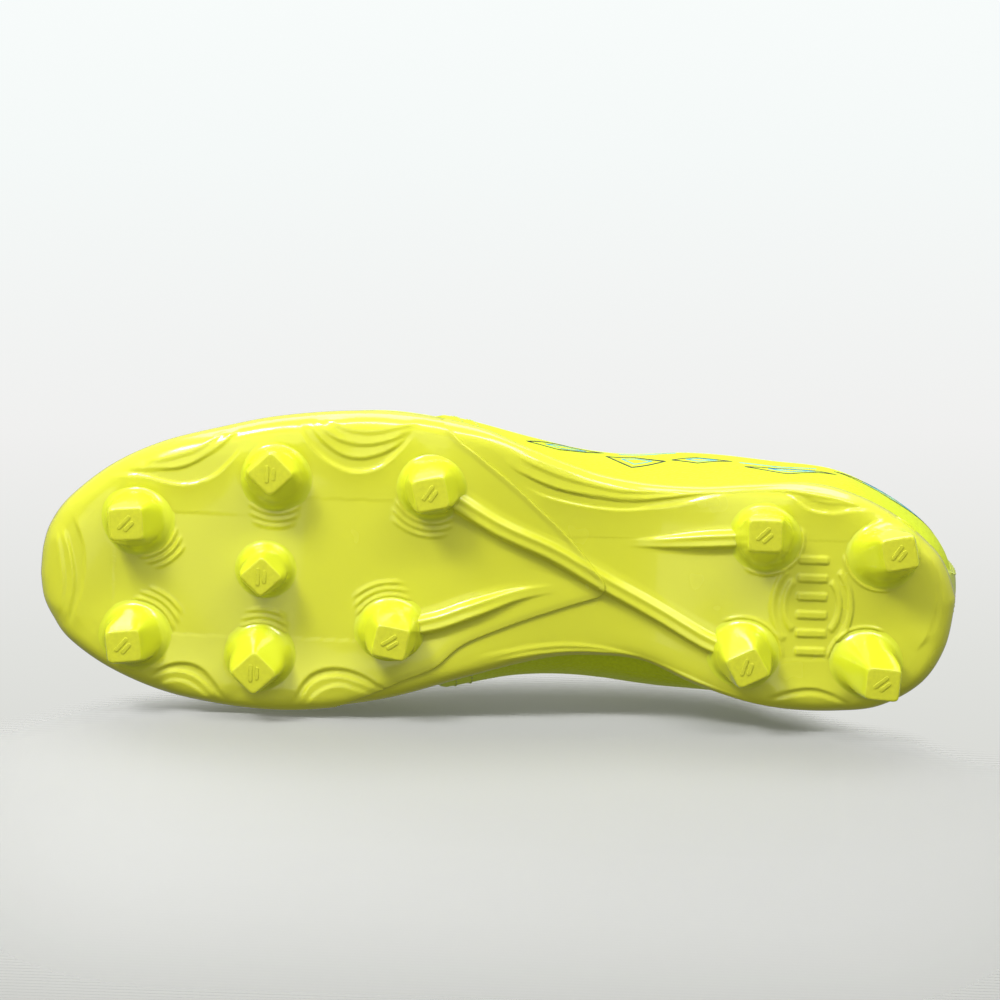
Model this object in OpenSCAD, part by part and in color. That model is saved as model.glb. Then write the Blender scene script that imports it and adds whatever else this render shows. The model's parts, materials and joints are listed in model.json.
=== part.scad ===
// Soccer cleat, left boot, built from separate pieces.
// +Z up, +X to the outer (lateral) side, +Y to the heel. Origin on the ground,
// under the middle of the boot. Units are millimetres.

/* [Size] */
// Overall length of the boot from toe to heel
boot_len = 288; // [280:1:300]
// Height of the sole plate above the ground, which is also the stud height
stud_h = 13; // [12:0.5:14]
// Width fitting: share of the widest drawn width
fitting = 0.963; // [0.95:0.001:0.98]

/* [Outsole] */
// Thickness of the sole plate
plate_t = 2.5; // [2.0:0.1:2.8]
// Height of the raised rim around the forefoot and the heel
rim_h = 7; // [6:0.5:8]
// Radius of a stud where it leaves the plate
stud_base_r = 11.9; // [11.2:0.1:12.4]
// Half width of a stud's squared tip
stud_tip_a = 5.3; // [4.5:0.1:5.6]

/* [Upper] */
// Thickness of the outer skin of the upper
skin_t = 1.4; // [1.2:0.1:1.5]
// Thickness of the lining
lining_t = 1.0; // [0.8:0.1:1.1]
// Extra thickness of the foam around the ankle
collar_foam = 4; // [2:0.5:5]
// Thickness of the tongue along its middle
tongue_t = 4; // [3:0.5:4.5]

/* [Insole] */
// Thickness of the sewn insole board
board_t = 1.6; // [1.2:0.1:1.8]
// Thickness of the loose sockliner
sock_t = 3.6; // [3:0.1:4]

/* [Lacing] */
// Diameter of the lace
lace_d = 2.4; // [2:0.1:2.6]
// Radius of an eyelet hole
eyelet_r = 2.3; // [2.1:0.1:2.6]

/* [Forefoot flex] */
// Half angle of the gap left at the flex line above its axis
flex_half = 13; // [12.8:0.1:14]

/* [Hidden] */
k = boot_len / 288;
flex_y = -52 * k;         // the line across the ball where the sole bends
flex_z = stud_h + 2;      // height of that line
gap = 0.3;                // room kept on each side of the flex line
e = 0.15;                 // half of the room kept between two fitted pieces
cx = -4.8*k;              // moves the outline's own axis so that the origin is under the middle

// ---- curves -------------------------------------------------------------
function cr(a, b, c, d, t) = 0.5 * (2*b + (c - a)*t + (2*a - 5*b + 4*c - d)*t*t + (3*b - a - 3*c + d)*t*t*t);
function spl(L, u) = let(n = len(L) - 1, i = max(0, min(n - 1, floor(u))), t = u - i)
  cr(L[max(0, i - 1)], L[i], L[i + 1], L[min(n, i + 2)], t);
function ring(L, i) = let(n = len(L)) L[((i % n) + n) % n];
function splr(L, u) = let(i = floor(u), t = u - i) cr(ring(L, i - 1), ring(L, i), ring(L, i + 1), ring(L, i + 2), t);
function unit(v) = v / max(1e-9, norm(v));
function step(a, b, x) = let(t = max(0, min(1, (x - a)/(b - a)))) t*t*(3 - 2*t);

// ---- sole outline: lateral x, lateral y, medial x, medial y, from toe to heel ----
OUT = k * [
  [-3.2, -144, -4.8, -144], [5, -143.3, -12, -142.9], [12.8, -140.9, -18, -140], [21.5, -135, -25, -134.8], [32.8, -122.3, -33, -123],
  [41.2, -107, -39.5, -107], [47, -89, -43, -90], [51.5, -71, -44.5, -71], [54, -50, -42.5, -50],
  [54, -31, -38.5, -31], [50.5, -9, -31, -9], [45, 5, -26.5, 5], [39.5, 18, -23.8, 18],
  [35, 31, -23.5, 31], [32.5, 46, -25, 46], [32.5, 62, -31.6, 62], [34.5, 78, -36.2, 78],
  [35.5, 93, -38.5, 93], [33, 107, -38.6, 107], [26, 122, -36.4, 120.5], [16, 134, -28.4, 133],
  [9, 139, -16.4, 139.8], [-0.2, 142.2, -1.8, 142.2]];
NU = len(OUT) - 1;
function side(u, m) = let(r = spl(OUT, u)) m == 0 ? [r[0], r[1]] : [r[2], r[3]];
function nrm(u, m) = let(a = side(max(0, u - .1), m), b = side(min(NU, u + .1), m), t = unit(b - a))
  m == 0 ? [t[1], -t[0]] : [-t[1], t[0]];
function ins(u, m, d) = side(u, m) - d * nrm(u, m);
// height of the underside of the plate: toe spring and arch
function zb(y) = stud_h
  + (y < -60*k ? 10*k*pow((-60*k - y)/(84*k), 2) : 0)
  + ((y > -10*k && y < 95*k) ? 7*k*pow(sin(180*(y + 10*k)/(105*k)), 2) : 0);
// height of the rim, lower through the waist
function rh(y) = rim_h - (rim_h - 3.2)*step(-20*k, 15*k, y)*(1 - step(75*k, 105*k, y));

// ---- solids swept from closed sections; each section is an outer chain and an inner chain ----
function tri(a, b, c, d) = [[a, b, c], [a, c, d]];
module ladder(loops, flip = false, closed = false) {
  n = len(loops); m = len(loops[0]); h = m/2;
  pts = [for (l = loops) each l];
  side_f = [for (i = [0:(closed ? n - 1 : n - 2)]) for (j = [0:m - 1])
    each tri(i*m + j, i*m + (j + 1) % m, ((i + 1) % n)*m + (j + 1) % m, ((i + 1) % n)*m + j)];
  cap0 = closed ? [] : [for (j = [0:h - 2]) each tri(j, m - 1 - j, m - 2 - j, j + 1)];
  cap1 = closed ? [] : [for (j = [0:h - 2]) each let(o = (n - 1)*m) tri(o + j, o + j + 1, o + m - 2 - j, o + m - 1 - j)];
  f = concat(side_f, cap0, cap1);
  polyhedron(points = pts, faces = flip ? [for (t = f) [t[2], t[1], t[0]]] : f, convexity = 12);
}

// a level sheet that follows the sole, inset from its outline
function sheet_loop(u, d, lo, hi) = let(a = ins(u, 0, d), b = ins(u, 1, d), w = [0, .12, .3, .5, .7, .88, 1])
  concat([for (t = w) let(p = a + (b - a)*t) [p[0], p[1], zb(p[1]) + lo]],
         [for (i = [6:-1:0]) let(p = a + (b - a)*w[i]) [p[0], p[1], zb(p[1]) + hi]]);
module sheet(d, lo, hi) ladder([for (i = [0:2*NU]) sheet_loop(i/2, d, lo, hi)], true);

// the tray shaped sole plate
rim_o = [[-0.8, 1], [-0.4, .55], [1.2, .22], [3.5, .05], [7, 0]];
function po(u, m, q) = let(p = ins(u, m, q[0])) [p[0], p[1], zb(p[1]) + q[1]*rh(p[1])];
function mid(u, t, z) = let(a = ins(u, 0, 7), b = ins(u, 1, 7), p = a + (b - a)*t) [p[0], p[1], zb(p[1]) + z];
// distinct points on both inner rims
function inner_rim(u, m) = [for (q = [[0.3, 1], [0.8, .9], [1.6, .6], [3.2, .06], [7, 0]])
  let(p = ins(u, m, q[0])) [p[0], p[1], zb(p[1]) + (q[1] == 1 ? rh(p[1]) : plate_t + q[1]*max(0.3, rh(p[1]) - plate_t)*.98)]];
function tray_loop(u) = let(a = inner_rim(u, 0), b = inner_rim(u, 1)) concat(
  [for (q = rim_o) po(u, 0, q)], [for (t = [.25, .5, .75]) mid(u, t, 0)], [for (i = [4:-1:0]) po(u, 1, rim_o[i])],
  b, [for (t = [.75, .5, .25]) mid(u, t, plate_t)], [for (i = [4:-1:0]) a[i]]);
module tray() ladder([for (i = [0:2*NU]) tray_loop(i/2)], true);

// the flex gap: everything ahead of it, and everything behind it
function fx(z, s) = flex_y + s*(gap + max(0, z - flex_z)*tan(flex_half));
module ahead() rotate([90, 0, 90]) translate([0, 0, -90]) linear_extrude(180)
  polygon([[-200, -5], [fx(0, -1), -5], [fx(flex_z, -1), flex_z], [fx(150, -1), 150], [-200, 150]]);
module behind() rotate([90, 0, 90]) translate([0, 0, -90]) linear_extrude(180)
  polygon([[200, -5], [fx(0, 1), -5], [fx(flex_z, 1), flex_z], [fx(150, 1), 150], [200, 150]]);
module between() rotate([90, 0, 90]) translate([0, 0, -90]) linear_extrude(180)
  polygon([[flex_y - .05, -5], [flex_y + .05, -5], [flex_y + .05, flex_z], [fx(150, 1) - gap - e, 150], [fx(150, -1) + gap + e, 150], [flex_y - .05, flex_z]]);

// the V where the forefoot plate ends under the arch
module vee(d) translate([0, 0, -1]) linear_extrude(90)
  offset(delta = d) polygon(k * [[-80, -200], [80, -200], [80, -40], [51, -17], [32.5, 4.5], [16.5, 20.5], [3, 31.5], [0, 33], [-3.5, 32], [-5, 29], [-8, 19.5], [-13, 5], [-20, -10.5], [-28.5, -20], [-34.5, -32.5], [-50, -60], [-80, -90]]);

module toe_plate() color([.83, .86, .3]) resize([0, 0, 0]) intersection() { tray(); ahead(); }
module ball_plate() color([.83, .86, .3]) resize([0, 0, 0]) intersection() { tray(); behind(); vee(-e); }
module heel_plate() color([.8, .84, .28]) resize([0, 0, 0]) difference() { intersection() { tray(); behind(); } vee(e); }

// ---- studs: base centre, tip centre, turn of the squared tip, base radius, tip height ----
STUDS = [
  [[17, -114], [18.2, -117], -5, 1, 4], [[-21.5, -114], [-22.4, -117], -7, 1, 4],
  [[33.5, -71], [37.2, -72.5], -45, 1, 0], [[2.8, -73.5], [3.2, -74.5], -45, .82, 0], [[-26.2, -74.6], [-28.9, -76], -45, 1, 0],
  [[32.2, -22], [32.2, -22.5], -13, 1, 0], [[-16, -33.6], [-17.3, -33.5], 10, 1, 0],
  [[18.5, 82.5], [22.2, 82], 0, 1, 0], [[14.5, 119.5], [17.7, 124], -12, 1, 0],
  [[-20.3, 77], [-21.8, 78], -28, 1, 0], [[-21.7, 115.3], [-25.8, 120.5], 4, 1, 0]];
SN = 24; // points around a stud
function sq(a, t) = let(c = cos(t), s = sin(t), q = pow(pow(abs(c), 4) + pow(abs(s), 4), -0.25)) a*q;
// each ring: height down from the plate, radius factor, share of square, share of tip shift
RINGS = [[-1.3, 1.03, 0, 0], [0, 1, 0, 0], [.12, .86, 0, .05], [.35, .70, .35, .3], [.7, .58, .8, .7], [.94, .5, 1, .95], [1, .44, 1, 1]];
module stud(i) {
  s = STUDS[i]; b = k*s[0]; tp = k*s[1];
  loops = [for (r = RINGS) let(c = b + (tp - b)*r[3])
    [for (j = [0:SN - 1]) let(t = 360*j/SN,
        rr = (1 - r[2])*stud_base_r*s[3]*r[1] + r[2]*sq(stud_tip_a*(r[1] > .55 ? 1.28 : r[1] > .49 ? 1.05 : .9)*(.5 + .5*s[3]), t - s[2]),
        q = c + rr*[cos(t), sin(t)], z0 = zb(q[1]))
      [q[0], q[1], r[0] < 0 ? z0 - r[0] : z0 + r[0]*(s[4] - z0)]]];
  n = len(loops); pts = concat([for (l = loops) each l], [[b[0], b[1], zb(b[1]) - RINGS[0][0]]]);
  f = concat([for (a = [0:n - 2]) for (j = [0:SN - 1]) each tri(a*SN + j, a*SN + (j + 1) % SN, (a + 1)*SN + (j + 1) % SN, (a + 1)*SN + j)],
    [for (j = [0:SN - 1]) [n*SN, (j + 1) % SN, j]], [[for (j = [0:SN - 1]) (n - 1)*SN + j]]);
  polyhedron(points = pts, faces = f, convexity = 4);
}
stud_c = [.86, .89, .4];
module stud_toe_lateral() color(stud_c) stud(0);
module stud_toe_medial() color(stud_c) stud(1);
module stud_mid_lateral() color(stud_c) stud(2);
module stud_mid_centre() color(stud_c) stud(3);
module stud_mid_medial() color(stud_c) stud(4);
module stud_ball_lateral() color(stud_c) stud(5);
module stud_ball_medial() color(stud_c) stud(6);
module stud_heel_front_lateral() color(stud_c) stud(7);
module stud_heel_rear_lateral() color(stud_c) stud(8);
module stud_heel_front_medial() color(stud_c) stud(9);
module stud_heel_rear_medial() color(stud_c) stud(10);

// ---- upper: 24 meridians, each a Bezier from the sole rim to the top line ----
// going from the toe along the lateral side to the heel and back along the medial side
UP = k * [
  [[-4, -139.5, 25], [-4, -150, 50], [-2, -108, 64], [0, -32, 79]],
  [[16.5, -132.5, 24], [21, -141, 50], [12, -103, 66], [4.5, -31, 79]],
  [[34, -112, 19.8], [40, -117, 48], [26, -90, 70], [8, -28, 79.5]],
  [[45, -85, 17.2], [52, -86, 46], [36, -66, 73], [10.5, -20, 81]],
  [[51, -50, 16], [57, -50, 45], [42, -44, 76], [12, -6, 85.5]],
  [[49.5, -20, 16], [54, -20, 45], [40, -20, 78], [13.5, 10, 91]],
  [[40.5, 8, 18], [46, 8, 45], [38, 8, 80], [15.5, 27, 98]],
  [[31, 38, 23], [37, 36, 45], [36, 34, 80], [19, 43, 104]],
  [[29.5, 62, 21], [37, 60, 42], [38, 58, 72], [28, 60, 88]],
  [[32, 85, 16.6], [38, 85, 36], [36, 84, 60], [31, 84, 72]],
  [[30, 107, 16], [36, 110, 36], [33, 108, 62], [26, 106, 76]],
  [[14, 131.5, 16], [18, 140, 38], [17, 132, 68], [13, 126, 86]],
  [[-1, 138, 16], [-1, 149, 38], [-1, 138, 70], [-1, 132.5, 92]],
  [[-20.5, 132.3, 16], [-23.5, 140.5, 38], [-20.5, 132, 68], [-15, 126, 86]],
  [[-35, 107, 16], [-40.8, 110.5, 36], [-35, 108, 62], [-28, 106, 76]],
  [[-34.4, 85, 16.6], [-42.5, 86, 36], [-38, 84, 60], [-32, 84, 72]],
  [[-27.8, 60, 21], [-42, 58, 42], [-42, 56, 72], [-28, 60, 88]],
  [[-21, 36, 23], [-39, 32, 40], [-44, 30, 78], [-19, 43, 104]],
  [[-23, 8, 18], [-38, 6, 42], [-40, 4, 80], [-15.5, 27, 98]],
  [[-32, -20, 16], [-41, -20, 45], [-37, -20, 78], [-13.5, 10, 91]],
  [[-39.7, -50, 16], [-46, -50, 45], [-37, -44, 76], [-12, -6, 85.5]],
  [[-41, -82, 17], [-48, -84, 46], [-34, -66, 73], [-10, -20, 81]],
  [[-35.5, -109, 19.6], [-42, -114, 48], [-28, -90, 70], [-7.5, -28, 79.5]],
  [[-21.5, -132.5, 24], [-26, -141, 50], [-16, -103, 66], [-4.5, -31, 79]]];
NM = len(UP);
function bz(q, s) = let(r = 1 - s) r*r*r*q[0] + 3*r*r*s*q[1] + 3*r*s*s*q[2] + s*s*s*q[3];
function S(t, s) = bz(splr(UP, t), s);
function N(t, s) = let(a = S(t + .06, s) - S(t - .06, s), b = S(t, min(1, s + .02)) - S(t, max(0, s - .02)))
  unit(cross(a, b));
// point of the upper at meridian t, share s of the way up, d outwards
function P(t, s, d) = S(t, s) + d*N(t, s);
// swelling of the padded collar, as a share
function swell(t, s) = pow(max(0, sin(180*step(.6, 1.02, s))), 1)*step(7.2, 8.6, t)*(1 - step(15.4, 16.8, t));
// a patch of a layer of the upper: meridians T, levels L, outer and inner face;
// w = 1 thickens the inner face with the collar, w = 2 moves both faces
G = .965/9; // one level
module patch(T, LV, d1, d0, w = 0, closed = false)
  ladder([for (t = T) let(tt = ((t % NM) + NM) % NM, L = [for (g = LV) g]) concat(
      [for (g = L) P(t, g*G, d1 - (w > 1 ? collar_foam*swell(tt, g*G) : 0))],
      [for (j = [len(L) - 1:-1:0]) P(t, L[j]*G, d0 - (w > 0 ? collar_foam*swell(tt, L[j]*G) : 0))])],
    false, closed);
ALL = [0:.5:NM - .5];
module skin() patch(ALL, [0:9], 0, -skin_t, 0, true);
li = skin_t + 1.8;   // outer face of the lining, below the outside of the upper
module lining_all() patch(ALL, [.2, 1, 2, 3, 4, 5, 6, 7, 8, 9], -li, -li - lining_t, 2, true);
module side_of(s) translate([s > 0 ? -1 + e : -201 - e, -200, -5]) cube([200, 400, 200]);

// eyelets: meridians of the six holes on the lateral side; the medial side mirrors them
EY = [3.2, 3.9, 4.6, 5.3, 6.0, 6.65];
ES = .895;
module eyelets(m) for (t0 = EY) let(t = m ? NM - t0 : t0, p = P(t, ES, -8), n = N(t, ES))
  translate(p) rotate([0, acos(n[2]), atan2(n[1], n[0])]) cylinder(r = eyelet_r, h = 14, $fn = 14);

module vamp_toe() color([.85, .95, .1]) resize([0, 0, 0]) intersection() { skin(); ahead(); }
module vamp_flex() color([.85, .95, .1]) resize([0, 0, 0]) intersection() { skin(); between(); }
module lateral_quarter() color([.85, .95, .1]) resize([0, 0, 0]) difference() { intersection() { skin(); behind(); side_of(1); } eyelets(false); lace_room(); }
module medial_quarter() color([.85, .95, .1]) resize([0, 0, 0]) difference() { intersection() { skin(); behind(); side_of(-1); } eyelets(true); lace_room(); }
module backstay() color([.1, .12, .12]) patch([11.5, 12, 12.5], [1:.95:8.6], 1.3, .2);
module not_over_flex() difference() { translate([-100, -200, 0]) cube([200, 200, 150]); translate([0, 1.5, 0]) behind(); }
module eyestay_lateral() color([.12, .13, .15]) resize([0, 0, 0]) difference() { patch([2:.5:7], [7.6, 8, 8.5, 9], 1.5, .3); eyelets(false); not_over_flex(); lace_room(); }
module eyestay_medial() color([.12, .13, .15]) resize([0, 0, 0]) difference() { patch([17:.5:22], [7.6, 8, 8.5, 9], 1.5, .3); eyelets(true); not_over_flex(); lace_room(); }
module toe_puff() color([.9, .9, .88]) patch([-2:.5:2], [1, 2, 3, 4], -skin_t - .25, -skin_t - 1.35);
module heel_counter() color([.9, .9, .88]) patch([9.5:.5:14.5], [1, 2, 3, 4, 5, 5.6], -skin_t - .25, -skin_t - 1.5);
module vamp_lining_toe() color([.2, .22, .24]) resize([0, 0, 0]) intersection() { lining_all(); ahead(); }
module vamp_lining_flex() color([.2, .22, .24]) resize([0, 0, 0]) intersection() { lining_all(); between(); }
module quarter_lining() color([.2, .22, .24]) resize([0, 0, 0]) difference() { intersection() { lining_all(); behind(); } eyelets(false); eyelets(true); lace_room(); }
module collar_foam_pad() color([.95, .9, .6]) resize([0, 0, 0]) difference() { patch([7.5:.5:16.5], [6, 7, 8, 9], -skin_t - .25, -li + .25, 1); lining_all(); }
module collar_binding() color([.15, .16, .17]) patch([7:.5:17], [9.06, 9.2, 9.325], .5, -li - lining_t + .1);

// ---- tongue: y, height of the middle of its top, half width ----
TG = k * [[-36, 70.2, 15], [-26, 72.4, 17], [-13, 76, 18.5], [0, 80, 20], [14, 84.8, 21], [28, 91.2, 21.5], [42, 97.2, 22], [52, 103, 21], [57, 107, 15]];
function tg(v, w) = let(q = spl(TG, v)) [w*q[2], q[0], q[1] - 6.5*k*w*w - 2*k*pow(abs(w), 4)];
function tgt(w, t) = t*(1 - .55*w*w);
module tongue_layer(a, b) ladder([for (i = [0:24]) let(v = i/3, w = [-1, -.75, -.4, 0, .4, .75, 1]) concat(
    [for (x = w) tg(v, x) - [0, 0, a*(1 - .55*x*x)]], [for (j = [6:-1:0]) tg(v, w[j]) - [0, 0, b*(1 - .55*w[j]*w[j])]])], true);
module tongue() color([.2, .22, .24]) tongue_layer(0, tongue_t);
module tongue_lining() color([.3, .32, .34]) tongue_layer(tongue_t + .2, tongue_t + 1.2);

// ---- insole board and sockliner ----
module strobel_board_toe() color([.92, .9, .84]) resize([0, 0, 0]) intersection() { sheet(8.5, plate_t + .5, plate_t + .5 + board_t); ahead(); }
module strobel_board_rear() color([.92, .9, .84]) resize([0, 0, 0]) intersection() { sheet(8.5, plate_t + .5, plate_t + .5 + board_t); behind(); }
module sockliner_toe() color([.25, .27, .3]) resize([0, 0, 0]) intersection() { sheet(10.6, plate_t + .8 + board_t, plate_t + .8 + board_t + sock_t); ahead(); }
module sockliner_rear() color([.25, .27, .3]) resize([0, 0, 0]) intersection() { sheet(10.6, plate_t + .8 + board_t, plate_t + .8 + board_t + sock_t); behind(); }

// ---- lace: one cord, criss-crossed through the eyelets, both ends tucked inside ----
function ey(m, i, d) = P(m ? NM - EY[i] : EY[i], ES, d);
function edge(m, i, d) = P(m ? NM - EY[i] : EY[i], 1, d);
up_d = 3.1; dn_d = -li - lining_t - 1.8;
// one crossing: up out of eyelet i, over the gap, under the far edge to eyelet i + 1
function cross_run(m, i, hop) = let(a = ey(m, i, up_d), b = ey(!m, i + 1, dn_d), c = (edge(m, i, 0) + edge(!m, i + 1, 0))/2)
  [a, edge(m, i, up_d), [c[0], c[1], c[2] + hop], edge(!m, i + 1, dn_d - .3), b];
function half_lace(m) = [for (i = [0:4]) each cross_run(i % 2 == 0 ? m : !m, i, m ? 3.2 : -.6)];
function tail(o) = [for (q = [[5.7, .8], [6.1, .81], [6.45, .845]]) P(abs(o - q[0]), q[1], dn_d)];
LACE = concat(
  tail(0),
  [for (i = [24:-1:0]) half_lace(true)[i]], [for (x = [.7, .3]) let(a = ey(true, 0, dn_d - .4), b = ey(false, 0, dn_d - .4)) b + (a - b)*x],
  half_lace(false), [for (i = [2:-1:0]) tail(NM)[i]]);
module tube(Q, r, n) {
  m = len(Q);
  T = [for (i = [0:m - 1]) unit(Q[min(m - 1, i + 1)] - Q[max(0, i - 1)])];
  // carry one frame along the route so that the tube doesn't twist
  F = [for (i = 0, u = unit(cross(T[0], [0, .3, 1])); i < m; i = i + 1, u = i < m ? unit(u - T[i]*(u*T[i])) : u) u];
  pts = [for (i = [0:m - 1]) let(v = cross(T[i], F[i])) for (j = [0:n - 1]) Q[i] + r*(cos(360*j/n)*F[i] + sin(360*j/n)*v)];
  f = concat([for (i = [0:m - 2]) for (j = [0:n - 1]) each tri(i*n + j, (i + 1)*n + j, (i + 1)*n + (j + 1) % n, i*n + (j + 1) % n)],
    [[for (j = [0:n - 1]) j]], [[for (j = [n - 1:-1:0]) (m - 1)*n + j]]);
  polyhedron(points = pts, faces = f, convexity = 10);
}
module lace() color([.92, .95, .3]) tube(LACE, lace_d/2, 8);
// the holes and edges give way a little where the lace pulls over them
module lace_room() tube(LACE, lace_d/2 + .1*k, 8);
module lace_keeper() color([.1, .12, .12]) translate(k*[0, 45.5, 100.6]) rotate([23, 0, 0]) difference() {
  translate([-7, -4, -1]) cube([14, 8, 3.2]);
  translate([-5.6, -5, .2]) cube([11.2, 10, 1.2]);
}

module placed() translate([cx, 0, 0]) resize([0, 0, 0]) scale([fitting, 1, 1]) children();

placed() toe_plate();
placed() ball_plate();
placed() heel_plate();
placed() stud_toe_lateral();
placed() stud_toe_medial();
placed() stud_mid_lateral();
placed() stud_mid_centre();
placed() stud_mid_medial();
placed() stud_ball_lateral();
placed() stud_ball_medial();
placed() stud_heel_front_lateral();
placed() stud_heel_rear_lateral();
placed() stud_heel_front_medial();
placed() stud_heel_rear_medial();
placed() vamp_toe();
placed() vamp_flex();
placed() lateral_quarter();
placed() medial_quarter();
placed() backstay();
placed() eyestay_lateral();
placed() eyestay_medial();
placed() toe_puff();
placed() heel_counter();
placed() vamp_lining_toe();
placed() vamp_lining_flex();
placed() quarter_lining();
placed() collar_foam_pad();
placed() collar_binding();
placed() tongue();
placed() tongue_lining();
placed() lace_keeper();
placed() lace();
placed() strobel_board_toe();
placed() strobel_board_rear();
placed() sockliner_toe();
placed() sockliner_rear();
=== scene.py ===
import json
import math

import bpy
import numpy as np
from mathutils import Matrix, Vector

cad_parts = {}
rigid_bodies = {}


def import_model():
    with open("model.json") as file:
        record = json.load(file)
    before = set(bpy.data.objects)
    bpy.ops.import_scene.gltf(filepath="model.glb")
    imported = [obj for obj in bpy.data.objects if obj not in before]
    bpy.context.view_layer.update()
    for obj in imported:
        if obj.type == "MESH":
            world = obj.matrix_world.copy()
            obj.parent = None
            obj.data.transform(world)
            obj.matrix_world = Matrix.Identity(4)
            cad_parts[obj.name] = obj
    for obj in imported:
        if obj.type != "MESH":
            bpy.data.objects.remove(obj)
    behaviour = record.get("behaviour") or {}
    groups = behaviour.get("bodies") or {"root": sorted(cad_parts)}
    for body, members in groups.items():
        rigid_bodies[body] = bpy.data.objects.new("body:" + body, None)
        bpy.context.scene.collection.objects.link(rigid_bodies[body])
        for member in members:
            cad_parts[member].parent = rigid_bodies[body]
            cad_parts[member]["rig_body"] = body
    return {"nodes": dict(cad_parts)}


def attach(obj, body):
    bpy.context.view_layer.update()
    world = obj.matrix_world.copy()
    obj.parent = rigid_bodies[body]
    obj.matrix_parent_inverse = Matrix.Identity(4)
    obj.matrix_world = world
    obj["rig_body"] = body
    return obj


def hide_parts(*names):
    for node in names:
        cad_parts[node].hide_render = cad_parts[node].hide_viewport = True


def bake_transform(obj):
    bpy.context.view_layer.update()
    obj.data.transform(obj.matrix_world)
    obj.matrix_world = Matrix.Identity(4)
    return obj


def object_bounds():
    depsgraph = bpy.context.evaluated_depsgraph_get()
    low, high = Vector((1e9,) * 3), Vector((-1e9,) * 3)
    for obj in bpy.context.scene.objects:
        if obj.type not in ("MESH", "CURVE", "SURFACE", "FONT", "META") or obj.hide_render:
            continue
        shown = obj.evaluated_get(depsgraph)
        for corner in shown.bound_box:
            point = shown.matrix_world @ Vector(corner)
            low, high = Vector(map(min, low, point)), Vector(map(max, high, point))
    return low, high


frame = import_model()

CAD_BOX = [list(map(float, c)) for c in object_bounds()]
NODES = frame["nodes"]
CX = -4.8                     # mm from the outline's own axis to the row frame's x
XS = .963                     # width fitting
rng = np.random.default_rng(7)

# ------------------------------------------------------------------ curves, as in the part
def cr(a, b, c, d, t):
    return .5 * (2*b + (c - a)*t + (2*a - 5*b + 4*c - d)*t*t + (3*b - a - 3*c + d)*t**3)


def spl(L, u):
    L, u = np.asarray(L, float), np.atleast_1d(np.asarray(u, float))
    n = len(L) - 1
    i = np.clip(np.floor(u).astype(int), 0, n - 1)
    t = (u - i)[:, None]
    return cr(L[np.maximum(i - 1, 0)], L[i], L[i + 1], L[np.minimum(i + 2, n)], t)


def splr(L, u):
    n = len(L)
    i = np.floor(u).astype(int)
    t = (u - i)[:, None]
    return cr(L[(i - 1) % n], L[i % n], L[(i + 1) % n], L[(i + 2) % n], t)


def step(a, b, x):
    t = np.clip((x - a)/(b - a), 0, 1)
    return t*t*(3 - 2*t)


def unit(v):
    return v/np.maximum(1e-9, np.linalg.norm(v, axis=-1, keepdims=True))


OUT = np.array([
    [-3.2, -144, -4.8, -144], [5, -143.3, -12, -142.9], [12.8, -140.9, -18, -140], [21.5, -135, -25, -134.8], [32.8, -122.3, -33, -123],
    [41.2, -107, -39.5, -107], [47, -89, -43, -90], [51.5, -71, -44.5, -71], [54, -50, -42.5, -50],
    [54, -31, -38.5, -31], [50.5, -9, -31, -9], [45, 5, -26.5, 5], [39.5, 18, -23.8, 18],
    [35, 31, -23.5, 31], [32.5, 46, -25, 46], [32.5, 62, -31.6, 62], [34.5, 78, -36.2, 78],
    [35.5, 93, -38.5, 93], [33, 107, -38.6, 107], [26, 122, -36.4, 120.5], [16, 134, -28.4, 133],
    [9, 139, -16.4, 139.8], [-0.2, 142.2, -1.8, 142.2]])
NU = len(OUT) - 1


def side(u, m):
    r = spl(OUT, u)
    return r[:, :2] if m == 0 else r[:, 2:]


def nrm(u, m):
    t = unit(side(np.minimum(NU, u + .1), m) - side(np.maximum(0, u - .1), m))
    return np.stack([t[:, 1], -t[:, 0]] if m == 0 else [-t[:, 1], t[:, 0]], 1)


def zb(y):
    y = np.asarray(y, float)
    return 13 + np.where(y < -60, 10*((-60 - y)/84)**2, 0) + np.where((y > -10) & (y < 95), 7*np.sin(np.pi*(y + 10)/105)**2, 0)


def rh(y):
    return 7 - 3.8*step(-20, 15, y)*(1 - step(75, 105, y))


RIM = np.array([[7, 0], [3.5, .05], [1.2, .22], [-.4, .55], [-.8, 1]])
_e = np.linspace(0, 3.4, 60)
_rim = spl(RIM, _e)
_rd, _rq = _rim[::-1, 0], np.maximum(_rim[::-1, 1], 0)

_u = np.linspace(0, NU, 700)
EDGE = np.concatenate([side(_u, 0), side(_u, 1)[::-1]])


def inset(P):
    """Distance of points (n, 2) in from the outline."""
    out = np.empty(len(P))
    a, b = EDGE, np.roll(EDGE, -1, 0)
    ab = b - a
    l2 = (ab**2).sum(1) + 1e-12
    for k in range(0, len(P), 2000):
        p = P[k:k + 2000]
        w = p[:, None, :] - a[None]
        t = np.clip((w*ab).sum(2)/l2, 0, 1)
        d2 = ((w - t[..., None]*ab)**2).sum(2)
        d = np.sqrt(d2.min(1))
        out[k:k + 2000] = np.where(inside(p, EDGE), d, -d)
    return out


def inside(P, poly):
    x, y = P[:, 0], P[:, 1]
    r = np.zeros(len(P), bool)
    a, b = poly, np.roll(poly, -1, 0)
    for (x0, y0), (x1, y1) in zip(a, b):
        if y0 == y1:
            continue
        c = ((y0 > y) != (y1 > y)) & (x < (x1 - x0)*(y - y0)/(y1 - y0) + x0)
        r ^= c
    return r


def zplate(P, d=None):
    """Height of the smooth underside at points (n, 2)."""
    d = inset(P) if d is None else d
    return zb(P[:, 1]) + np.interp(d, _rd, _rq)*rh(P[:, 1])


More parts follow.
